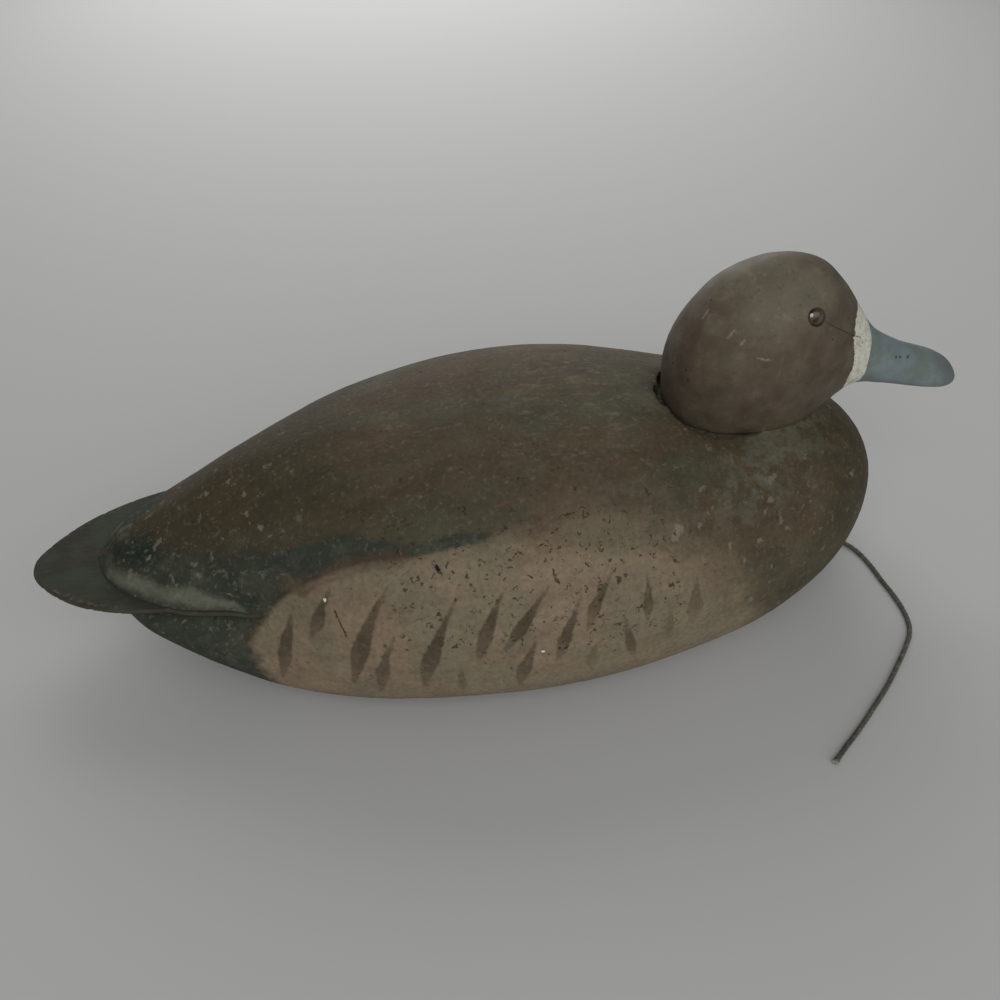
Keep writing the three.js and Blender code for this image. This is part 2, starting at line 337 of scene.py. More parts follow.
def covered(tree, paint, colour, value, low, high, strength):
    # a colour laid over the paint where a value passes low to high
    cover = addNode(tree, "ShaderNodeMapRange", {"Value": value, "From Min": low, "From Max": high,
                                                 "To Max": weighed(tree, strength)},
                    interpolation_type="SMOOTHSTEP")
    return addNode(tree, "ShaderNodeMix", {0: cover, 6: paint, 7: colour}, 2, data_type="RGBA")


def worked(tree, places, paint, colour, size, low, high, strength=1.0, stretch=even, start=0.0, detail=3.0,
           twist=0.0):
    # a second colour worked in as patches of about a size in millimetres, where noise passes low to high
    spot = addNode(tree, "ShaderNodeMapping", {"Vector": places, "Location": (start, start, start),
                                               "Scale": stretch})
    noise = addNode(tree, "ShaderNodeTexNoise", {"Vector": spot, "Scale": 1 / (size * mm), "Detail": detail,
                                                 "Roughness": 0.6, "Distortion": twist})
    return covered(tree, paint, colour, noise, low, high, strength)


def brushed(tree, places, paint, colour, gap, soft, wander=0.0, size=4.0, strength=1.0):
    # a colour laid where the gap, the millimetres inside its border, is positive; the border wanders
    noise = addNode(tree, "ShaderNodeTexNoise", {"Vector": places, "Scale": 1 / (size * mm), "Detail": 4.0})
    edge = addNode(tree, "ShaderNodeMath", {0: noise, 1: 4 * wander, 2: weighed(tree, gap)},
                   operation="MULTIPLY_ADD")
    return covered(tree, paint, colour, edge, 2 * wander - soft / 2, 2 * wander + soft / 2, strength)


def shaded(tree, places, paint, size, amount, stretch=even, start=0.0):
    # lighter and darker by up to an amount, as a brush leaves paint
    spot = addNode(tree, "ShaderNodeMapping", {"Vector": places, "Location": (start, start, start),
                                               "Scale": stretch})
    noise = addNode(tree, "ShaderNodeTexNoise", {"Vector": spot, "Scale": 1 / (size * mm), "Detail": 5.0})
    tone = addNode(tree, "ShaderNodeMapRange", {"Value": noise, "From Min": 0.25, "From Max": 0.75,
                                                "To Min": 1 - amount, "To Max": 1 + amount})
    return addNode(tree, "ShaderNodeVectorMath", {0: paint, "Scale": tone}, operation="SCALE")


def coated(tree, places, paint, colour, coats, gaps=None):
    # coats laid one after another, each row with its way, its colour's name, and what that way asks for:
    # worked: patch size, noise from and to, strength, stretch, start, detail, twist
    # brushed: gap or weight, softness, wander, the wander's size, strength
    # shaded has no colour: patch size, amount, stretch, start
    for way, name, *settings in coats:
        if way is brushed and gaps:
            settings[0] = gaps.get(settings[0], settings[0])
        paint = way(tree, places, paint, colour.get(name, name), *settings)
    return paint


def nearestGap(tree, distances, radius):
    # the millimetres inside the nearest of some marks
    nearest = 1.0
    for distance in distances:
        nearest = addNode(tree, "ShaderNodeMath", {0: nearest, 1: distance}, operation="MINIMUM")
    return addNode(tree, "ShaderNodeMath", {0: nearest, 1: -1 / mm, 2: radius}, operation="MULTIPLY_ADD")


def spotGap(tree, places, spots, radius):
    # for small round spots
    distances = [addNode(tree, "ShaderNodeVectorMath", {0: places, 1: [v * mm for v in spot]}, "Value",
                         operation="DISTANCE") for spot in spots]
    return nearestGap(tree, distances, radius)


def strokeGap(tree, places, course, radius):
    # for a thin scratch or crack along a few points
    distances = []
    for start, stop in zip(np.array(course), np.array(course)[1:]):
        step = (stop - start) * mm
        near = addNode(tree, "ShaderNodeVectorMath", {0: places, 1: start * mm}, operation="SUBTRACT")
        along = addNode(tree, "ShaderNodeVectorMath", {0: near, 1: step / (step @ step)}, "Value",
                        operation="DOT_PRODUCT")
        along = addNode(tree, "ShaderNodeMath", {0: along, 1: 0.0}, operation="ADD", use_clamp=True)
        foot = addNode(tree, "ShaderNodeVectorMath", {0: step, "Scale": along}, operation="SCALE")
        distances.append(addNode(tree, "ShaderNodeVectorMath", {0: near, 1: foot}, "Value",
                                 operation="DISTANCE"))
    return nearestGap(tree, distances, radius)


# The pits of cork, the same in the relief and as painted shade in the paint: small torn clumps, and breaks
# along thin cracks
pits = {
    "clumps": {"size": 2.7, "moved": (0, 0, 0), "least": 0.76,
               "noise": {"Detail": 5.0, "Roughness": 0.62, "Distortion": 0.6}},
    "breaks": {"size": 5.2, "moved": (0.31, 0.17, 0.23), "least": 0.78, "noise": {"Detail": 2.0}},
    "thickest": 0.62,  # noise above this is torn out where the pits lie thickest
    "edge": 0.03,
    "crackSize": 6.0,
    "crackEdge": (0.024, 0.008),
}


def crevices(tree, places, amount):
    torn = {}
    for name in ("clumps", "breaks"):
        kind = pits[name]
        moved = addNode(tree, "ShaderNodeVectorMath", {0: places, 1: kind["moved"]}, operation="ADD")
        spots = {"Vector": moved, "Scale": 1 / (kind["size"] * mm)} | kind["noise"]
        noise = addNode(tree, "ShaderNodeTexNoise", spots)
        least = addNode(tree, "ShaderNodeMapRange", {"Value": amount, "To Min": kind["least"],
                                                     "To Max": pits["thickest"]})
        over = addNode(tree, "ShaderNodeMath", {0: noise, 1: least}, operation="SUBTRACT")
        torn[name] = addNode(tree, "ShaderNodeMapRange", {"Value": over, "From Max": pits["edge"]})
    veins = addNode(tree, "ShaderNodeTexNoise", {"Vector": places, "Scale": 1 / (pits["crackSize"] * mm),
                                                 "Detail": 2.0})
    off = addNode(tree, "ShaderNodeMath", {0: veins, 1: 0.5}, operation="SUBTRACT")
    off = addNode(tree, "ShaderNodeMath", {0: off}, operation="ABSOLUTE")
    low, high = pits["crackEdge"]
    cracks = addNode(tree, "ShaderNodeMapRange", {"Value": off, "From Min": low, "From Max": high})
    cracks = addNode(tree, "ShaderNodeMath", {0: cracks, 1: torn["breaks"]}, operation="MULTIPLY")
    return addNode(tree, "ShaderNodeMath", {0: cracks, 1: torn["clumps"]}, operation="MAXIMUM")


# Camera: the photograph looks down on the decoy's right side from close by
view = {
    "location": (-0.04877, -0.36122, 0.40671),
    "rotation": (45.977, 1.654, -9.398),
    "lens": 36.43,
    "sensor": 36,
}
camera = bpy.data.objects.new("camera", bpy.data.cameras.new("camera"))
camera.data.lens = view["lens"]
camera.data.sensor_width = view["sensor"]
camera.location = view["location"]
camera.rotation_euler = [math.radians(angle) for angle in view["rotation"]]
bpy.context.scene.collection.objects.link(camera)
bpy.context.scene.camera = camera


# The anchor line: strands braided both ways round a core, along the part's route
line = {
    "route": [
        (149, -2.6, 15.4), (156, -2.9, 11.6), (163, -3.4, 8.4), (169, -4.6, 5.8), (175.5, -7, 3.2),
        (182, -11, 1.7), (187.5, -15.5, 1.3), (191.5, -23, 1.3), (194, -34, 1.3), (195.2, -44.6, 1.3),
        (196.7, -54, 1.3), (197.2, -64.8, 1.3), (196.2, -73.2, 1.3), (193.6, -79.6, 1.3),
        (188.6, -86.4, 1.3), (179.5, -96.6, 1.3), (169.2, -107.3, 1.3), (158.1, -117.3, 1.3),
        (145.7, -128.1, 1.3), (136.2, -135.6, 1.3), (128.3, -142.2, 1.3),
    ],
    "diameter": 2.5,
    "strands": 8,  # half wind to the left, half to the right
    "strandWidth": 0.95,
    "turn": 9.5,  # the length in which a strand goes once round
    "weave": 0.07,  # how far a strand dips under its neighbour, as a share of its distance out
    "coreWidth": 1.6,
    "samples": 40,  # points on each part of the route
    "step": 0.55,
    "splay": 0.35,  # the cut end loosens by this
    "splayLength": 4.0,
    "holeRadius": 2.2,
    "holeLength": 30,
    "holeSides": 24,
    "cutReach": 1.6,  # how far the fresh cut shows from the end
    "roughness": 0.85,
    "colours": {"tar": "#55544a", "wornAndSheen": "#7d7a6c", "dirt": "#3a3931", "cut": "#a8a595"},
    "coats": [
        (worked, "wornAndSheen", 2.2, 0.5, 0.68, 0.7),
        (worked, "dirt", 5, 0.5, 0.7, 0.6, even, 1.0),
        (shaded, 0.7, 0.3),
        (brushed, "cut", "cutEnd", 0.5, 0.4, 1.0, 0.8),
    ],
}
braidSizes = ("diameter", "strandWidth", "turn", "coreWidth", "splay", "splayLength")


def braidTree():
    # each strand is the route itself, moved out and wound round it as a braid's strands cross
    sizes = braidSizes + ("weave", "whole")
    tree, given = newTree("braidedLine", sizes, {"strands": "Int", "material": "Material"})
    source = {"Geometry": given["Geometry"], "Amount": given["strands"]}
    copies = addNode(tree, "GeometryNodeDuplicateElements", source, domain="SPLINE")
    at = {name: given[name] for name in sizes + ("strands",)}
    at["number"] = copies.node.outputs["Duplicate Index"]
    at["along"] = addNode(tree, "GeometryNodeSplineParameter", output="Length")
    sums = (
        ("odd", "MODULO", "number", 2.0),
        ("hand", "MULTIPLY_ADD", "odd", 2.0, -1.0),
        ("pairs", "MULTIPLY", "strands", 0.5),
        ("wound", "MULTIPLY", "along", 2 * math.pi),
        ("wind", "DIVIDE", "wound", "turn"),
        ("half", "MULTIPLY", "number", 0.5),
        ("pair", "FLOOR", "half"),
        ("started", "MULTIPLY", "pair", 2 * math.pi),
        ("start", "DIVIDE", "started", "pairs"),
        ("angle", "MULTIPLY_ADD", "wind", "hand", "start"),
        ("crossing", "MULTIPLY", "wind", "pairs"),
        ("phase", "MULTIPLY_ADD", "hand", math.pi / 2, "crossing"),
        ("dip", "SINE", "phase"),
        ("left", "SUBTRACT", "whole", "along"),
        ("near", "DIVIDE", "left", "splayLength"),
        ("far", "MINIMUM", "near", 1.0),
        ("nearEnd", "SUBTRACT", 1.0, "far"),
        ("loose", "MULTIPLY", "nearEnd", "splay"),
        ("room", "SUBTRACT", "diameter", "strandWidth"),
        ("out", "MULTIPLY", "room", 0.5),
        ("most", "SUBTRACT", 1.0, "weave"),
        ("share", "MULTIPLY_ADD", "dip", "weave", "most"),
        ("distance", "MULTIPLY_ADD", "out", "share", "loose"),
        ("cosine", "COSINE", "angle"),
        ("sine", "SINE", "angle"),
        ("up", "MULTIPLY", "cosine", "distance"),
        ("over", "MULTIPLY", "sine", "distance"),
        ("strandRadius", "MULTIPLY", "strandWidth", 0.5),
        ("coreRadius", "MULTIPLY", "coreWidth", 0.5),
    )
    for name, operation, *values in sums:
        links = {i: at.get(value, value) for i, value in enumerate(values)}
        at[name] = addNode(tree, "ShaderNodeMath", links, operation=operation)
    normal = addNode(tree, "GeometryNodeInputNormal")
    tangent = addNode(tree, "GeometryNodeInputTangent")
    beside = addNode(tree, "ShaderNodeVectorMath", {0: tangent, 1: normal}, operation="CROSS_PRODUCT")
    up = addNode(tree, "ShaderNodeVectorMath", {0: normal, "Scale": at["up"]}, operation="SCALE")
    over = addNode(tree, "ShaderNodeVectorMath", {0: beside, "Scale": at["over"]}, operation="SCALE")
    offset = addNode(tree, "ShaderNodeVectorMath", {0: up, 1: over}, operation="ADD")
    strands = addNode(tree, "GeometryNodeSetPosition", {"Geometry": copies, "Offset": offset})
    joined = addNode(tree, "GeometryNodeJoinGeometry")
    for course, radius, sides in ((strands, "strandRadius", 6), (given["Geometry"], "coreRadius", 8)):
        ring = addNode(tree, "GeometryNodeCurvePrimitiveCircle", {"Resolution": sides, "Radius": at[radius]})
        sweep = {"Curve": course, "Profile Curve": ring, "Fill Caps": True}
        tree.links.new(addNode(tree, "GeometryNodeCurveToMesh", sweep), joined.node.inputs[0])
    return closeTree(tree, joined, given["material"])


def tarredBraid():
    # tarred nylon braid, years in the weather: dull dark olive, paler where the strands rub
    material, tree, colour = newFinish("tarredBraid", line["colours"])
    places = addNode(tree, "ShaderNodeTexCoord", output="Object")
    gaps = {"cutEnd": spotGap(tree, places, [line["route"][-1]], line["cutReach"])}
    paint = coated(tree, places, colour["tar"], colour, line["coats"], gaps)
    closeFinish(tree, {"Base Color": paint, "Roughness": line["roughness"]})
    return material


def anchorLine():
    course = throughAll(line["route"], line["samples"])
    length = np.linalg.norm(np.diff(course, axis=0), axis=1).sum()
    course = evenly(course, int(length / line["step"])) * mm
    curve = bpy.data.curves.new("lineCourse", "CURVE")
    curve.dimensions = "3D"
    spline = curve.splines.new("POLY")
    spline.points.add(len(course) - 1)
    for point, at in zip(spline.points, course):
        point.co = (*at, 1)
    values = {name: line[name] * mm for name in braidSizes}
    values |= {"weave": line["weave"], "strands": line["strands"], "whole": length * mm}
    values["material"] = tarredBraid()
    thing = growBy(placed("braided_line", curve), braidTree(), values)
    thing.data.shade_smooth()
    keep(thing, "anchor_line")
    print("anchor line:", round(length, 1), "mm long")


anchorLine()


# The cork body and the tail board's outline, the same forms as the part's
body = {
    "plan": [
        (-196, 0), (-193, 12.5), (-186, 24.5), (-178, 34), (-165.5, 45), (-150.5, 54), (-128.5, 63.5),
        (-99.5, 76), (-66.5, 86.2), (-20, 93.5), (25, 94.5), (62, 89.5), (108.5, 77.3), (140, 63.2),
        (165, 46.5), (181, 29), (189.5, 13), (192, 0),
    ],
    "back": [
        (-196, 55.5), (-193, 59.5), (-182, 67), (-165, 74.8), (-148.5, 84.3), (-123.5, 98),
        (-90.5, 108.6), (-50, 114.2), (0, 117.2), (45, 115.6), (85, 108.5), (124.5, 101), (150, 96.3),
        (163, 91.3), (175, 83.2), (184, 72.3), (190, 59.5), (192, 48),
    ],
    "belt": [
        (-196, 55), (-185.5, 53), (-165.5, 47), (-150.5, 42), (-128.5, 35.5), (-99.5, 31),
        (-15.5, 32), (60, 34), (120, 37.5), (160, 42), (192, 48),
    ],
    "under": [
        (-196, 54), (-185.5, 48), (-178.5, 41), (-165.5, 29.5), (-150.5, 17.5), (-135, 7.5),
        (-122, 1.2), (-116, 0), (115, 0), (120, 0.6), (140, 4), (158, 11), (173, 21.5), (184, 32),
        (190, 41), (192, 48),
    ],
    "fullness": [
        (-196, 1.4), (-150, 1.5), (-110, 1.7), (-60, 2.15), (-10, 2.4), (50, 2.35), (110, 2.15),
        (192, 2),
    ],
    "cove": [
        (-196, 2.5), (-175, 3.5), (-154.5, 2.5), (-139.5, 4.5), (-128.5, 6), (-113, 5.8), (-100, 4),
        (-84, 0), (192, 0),
    ],
    "flare": [(-196, 0), (-192, 3), (-184, 6), (-174, 4.2), (-160, 1.2), (-148, 0), (192, 0)],
    "bilge": 2.35,
    "flatten": 1.1,
    "coveReach": 9,
    "coveMost": 0.3,
    "flareReach": 4,
    "stations": 288,
    "around": 156,  # points from the ridge to the keel on one side
    "traced": 1441,  # points that a section is first drawn with
    "sparse": 0.22,  # the underside has this share of points for its size
    "sparseUpTo": 14,
    "endInset": 0.15,
    "featherFrom": -160,  # behind this the cork thins out: its edge, and how it rises inward from there
    "featherReach": 30,
    "feather": (0.3, 0.5, 0.04),
    "sharp": 55,  # degrees
}
board = {
    "thickness": 3,
    "tipHeight": 49.9,
    "slope": 0.05,
    "innerEnd": -116.5,
    "flush": 0.15,  # how far its edge stands out of the cork
    "taper": 1.5,  # its edge dies away into the cork by this at the inner end
    "taperLength": 9,
    "freeEnd": -154.5,
    "blendLength": 8,
    "outline": [
        (-227.2, 0), (-226, 5.8), (-223, 10.6), (-216.5, 17.8), (-208.5, 24.6), (-199.5, 30.3),
        (-190.5, 34.3), (-177.5, 38.6), (-154.5, 43.2),
    ],
    "rounding": 1.2,
    "slotRoom": 0.12,
    "slotOuter": (-250, 100),
    "stations": (150, 60),  # along the free end, and along the part let into the cork
    "around": 44,
    "sharp": 60,  # degrees
}
# each list of points, read as a function of its first number
bodyAt = {name: through(points) for name, points in body.items() if isinstance(points, list)}


def boardMiddle(x):
    return board["tipHeight"] + board["slope"] * (x - board["outline"][0][0])


def cove(x, z):
    above = (z - boardMiddle(x) - board["thickness"]) / body["coveReach"]
    depth = np.clip(bodyAt["cove"](x), 0, body["coveMost"] * bodyAt["plan"](x))
    return depth * np.exp(-above * above)


def flare(x, z):
    below = np.maximum(boardMiddle(x) - z, 0) / body["flareReach"]
    return np.maximum(bodyAt["flare"](x), 0) * (1 - np.exp(-below * below))


def bodySection(x):
    half, back, belt = [float(bodyAt[name](x)) for name in ("plan", "back", "belt")]
    under = max(float(bodyAt["under"](x)), 0)
    c, s = halfTurn(body["traced"])
    shape = np.where(s >= 0, 2 / float(bodyAt["fullness"](x)), 2 / body["bilge"])
    reach = np.where(s >= 0, back - belt, (belt - under) * body["flatten"])
    z = np.maximum(belt + reach * power(s, shape), under)
    y = half * power(c, shape) + (flare(x, z) - cove(x, z)) * c
    y[0] = y[-1] = 0
    section = np.column_stack([np.full_like(y, x), y, z])
    if x < body["featherFrom"]:
        # the cork thins out onto the tail board
        outline = np.array([p for p in body["plan"] if p[0] < body["featherFrom"] + body["featherReach"]])
        inset = toLine(section[:, :2], throughAll(outline, 6))[0]
        edge, rise, swell = body["feather"]
        top = boardMiddle(x) + board["thickness"] / 2
        thinned = np.minimum(z, top + edge + rise * inset + swell * inset**2)
        section[:, 2] = z = np.where(z > top, thinned, z)
    sparse = body["sparse"]
    weight = sparse + (1 - sparse) * smoothStep(z, 0, body["sparseUpTo"])
    return evenly(section, body["around"], weight)


def corkHalf(x, z):
    half, back, belt, full = [bodyAt[name](x) for name in ("plan", "back", "belt", "fullness")]
    rise = np.clip((z - belt) / (back - belt), 0, 1)
    c = np.sqrt(1 - rise**full)
    return half * c ** (2 / full) - cove(x, z) * c


def corkTop(x, y):
    half, back, belt, full = [bodyAt[name](x) for name in ("plan", "back", "belt", "fullness")]
    return belt + (back - belt) * (1 - np.clip(np.abs(y) / half, 0, 1) ** full) ** (1 / full)


# The head's form, and the pocket that it is let into
head = {
    "top": [
        (80, 122), (82, 135), (88, 148), (96.5, 159.2), (106.5, 169), (122.5, 175.5), (136, 175.5),
        (148, 171.3), (157, 162.9), (164.5, 153), (170, 145), (175, 137.8), (180.5, 131.7),
        (187.5, 126.8), (195.5, 122), (206.5, 117), (216.5, 112.2), (222.5, 108.2), (226.2, 103.2),
        (227.2, 100.6),
    ],
    "bottom": [
        (80, 122), (81.5, 100), (85, 86), (94.5, 80), (134.5, 80), (147, 87), (154.5, 93), (161, 99.5),
        (168, 103.8), (174.5, 105), (184.5, 103.6), (200.5, 100.6), (213.5, 99.4), (221, 99.4),
        (225.6, 100), (227.2, 100.6),
    ],
    "half": [
        (80, 0), (81, 9), (85, 16), (91.5, 21.8), (101.5, 26.7), (114.5, 28.5), (126.5, 28),
        (138.5, 25.5), (149.5, 21.8), (159.5, 17.3), (167.5, 13.9), (172.5, 12.4), (179.5, 11.2),
        (189.5, 10.7), (199.5, 11.3), (209.5, 12.2), (217, 11.7), (222.5, 9), (226.2, 4.4), (227.2, 0),
    ],
    "cheek": [
        (80, 122), (90, 128), (134.5, 129), (149.5, 128), (159.5, 124), (172.5, 119.5), (184.5, 112.5),
        (200.5, 106), (213.5, 103), (227.2, 100.6),
    ],
    "crownSquareness": 2,
    "jawSquareness": 2.1,
    "stations": 210,
    "around": 90,
    "traced": 721,  # points that a section is first drawn with
    "endInset": 0.1,
    "cutAway": (40, 260, 60, 20),  # the block taken off below the seat: back, front, half width and depth
    "sharp": 40,  # degrees
    # the white band, its back and front edge along the head by height
    "bandBack": [
        (95, 166), (104, 163.5), (114.5, 162), (121, 163.4), (126.5, 163.4), (138.7, 161),
        (147.8, 161.8), (151, 164.5), (156, 168),
    ],
    "bandFront": [
        (95, 168), (104, 170.5), (110, 172.3), (116, 173.2), (124.4, 173.4), (128.8, 173.9),
        (132.5, 174.3), (138.7, 173.7), (144.3, 171.8), (150, 171),
    ],
    "scribe": 0.3,  # the bill is marked off from the band by a fine cut
    "scribeWidth": 0.6,
}
seat = {
    "backHeight": 103.5,
    "slope": 0.17,
    "clearance": 0.6,  # at the sides behind the cheek
    "clearTo": (102, 118),
    "pressed": 0.3,  # the cork bears on the head in front
    "pressedFrom": (112, 128),
    "opening": (4.4, 92, 126),  # the pocket stands open by this, fully to one x and closed from another
    "inset": 0.4,
    "backClearance": 3.6,
    "backWidth": 0.85,
    "heel": [(0.6, 1), (0, 0.5), (0.3, 0), (-0.2, -0.4), (0.8, -1)],  # ahead, and share of the width
    "front": 164,
    "noseReach": 2,
    "noseWidth": 0.4,
    "points": 130,
    "above": 0.3,  # over the cork's top, where the pocket's sides are measured
    "under": 0.3,  # room below the head
    "over": 150,
    "ragged": 0.6,  # how far the cork's torn rim wanders
    "raggedTo": (112, 90),
    "seed": 7,
}
headAt = {name: through(points) for name, points in head.items() if isinstance(points, list)}


def headSection(x):
    top, bottom, half, cheek = [float(headAt[name](x)) for name in ("top", "bottom", "half", "cheek")]
    c, s = halfTurn(head["traced"])
    shape = np.where(s >= 0, 2 / head["crownSquareness"], 2 / head["jawSquareness"])
    y = half * power(c, shape)
    z = cheek + np.where(s >= 0, top - cheek, cheek - bottom) * power(s, shape)
    cut = head["scribe"] * hump((x, headAt["bandFront"](z), head["scribeWidth"]))
    length = np.maximum(np.hypot(y, z - cheek), 1)
    y, z = y - cut * y / length, z - cut * (z - cheek) / length
    y[0] = y[-1] = 0
    return evenly(np.column_stack([np.full_like(y, x), y, z]), head["around"])


def headHalf(x, z):
    cheek, top, bottom, half = [headAt[name](x) for name in ("cheek", "top", "bottom", "half")]
    part = np.where(z > cheek, (z - cheek) / (top - cheek), (cheek - z) / (cheek - bottom))
    shape = np.where(z > cheek, head["crownSquareness"], head["jawSquareness"])
    return half * (1 - np.clip(part, 0, 1) ** shape) ** (1 / shape)


def seatHeight(x):
    return seat["backHeight"] - seat["slope"] * (x - head["top"][0][0])


def pocketOutline():
    # along the right side from the back to the front, round the front, and back along the left side
    xs = spaced(head["top"][0][0] + seat["inset"], seat["front"], seat["points"])
    half = headHalf(xs, bodyAt["back"](xs) + 1)
    xs, half = xs[half > 1], half[half > 1]
    for turn in range(4):
        # closer each turn to where the head's side meets the cork's top
        half = np.maximum(headHalf(xs, corkTop(xs, half) + seat["above"]), 1)
    most, full, closed = seat["opening"]
    half = half + most * (1 - smoothStep(xs, full, closed))
    half = half + seat["clearance"] * (1 - smoothStep(xs, *seat["clearTo"]))
    half = half - seat["pressed"] * smoothStep(xs, *seat["pressedFrom"])
    rng = np.random.default_rng(seat["seed"])
    sides = []
    for sign in (-1, 1):
        torn = np.convolve(rng.normal(0, 1, len(xs) + 2), [0.25, 0.5, 0.25], "valid")
        torn = seat["ragged"] * np.abs(torn) * smoothStep(xs, *seat["raggedTo"])
        sides.append(np.column_stack([xs, sign * (half + torn)]))
    right, left = sides
    noseX, noseY = xs[-1] + seat["noseReach"], seat["noseWidth"] * half[-1]
    heelX, heelY = xs[0] - seat["backClearance"], seat["backWidth"] * half[0]
    heel = [(heelX + ahead, heelY * share) for ahead, share in seat["heel"]]
    return np.vstack([right, [(noseX, -noseY), (noseX, noseY)], left[::-1], heel])


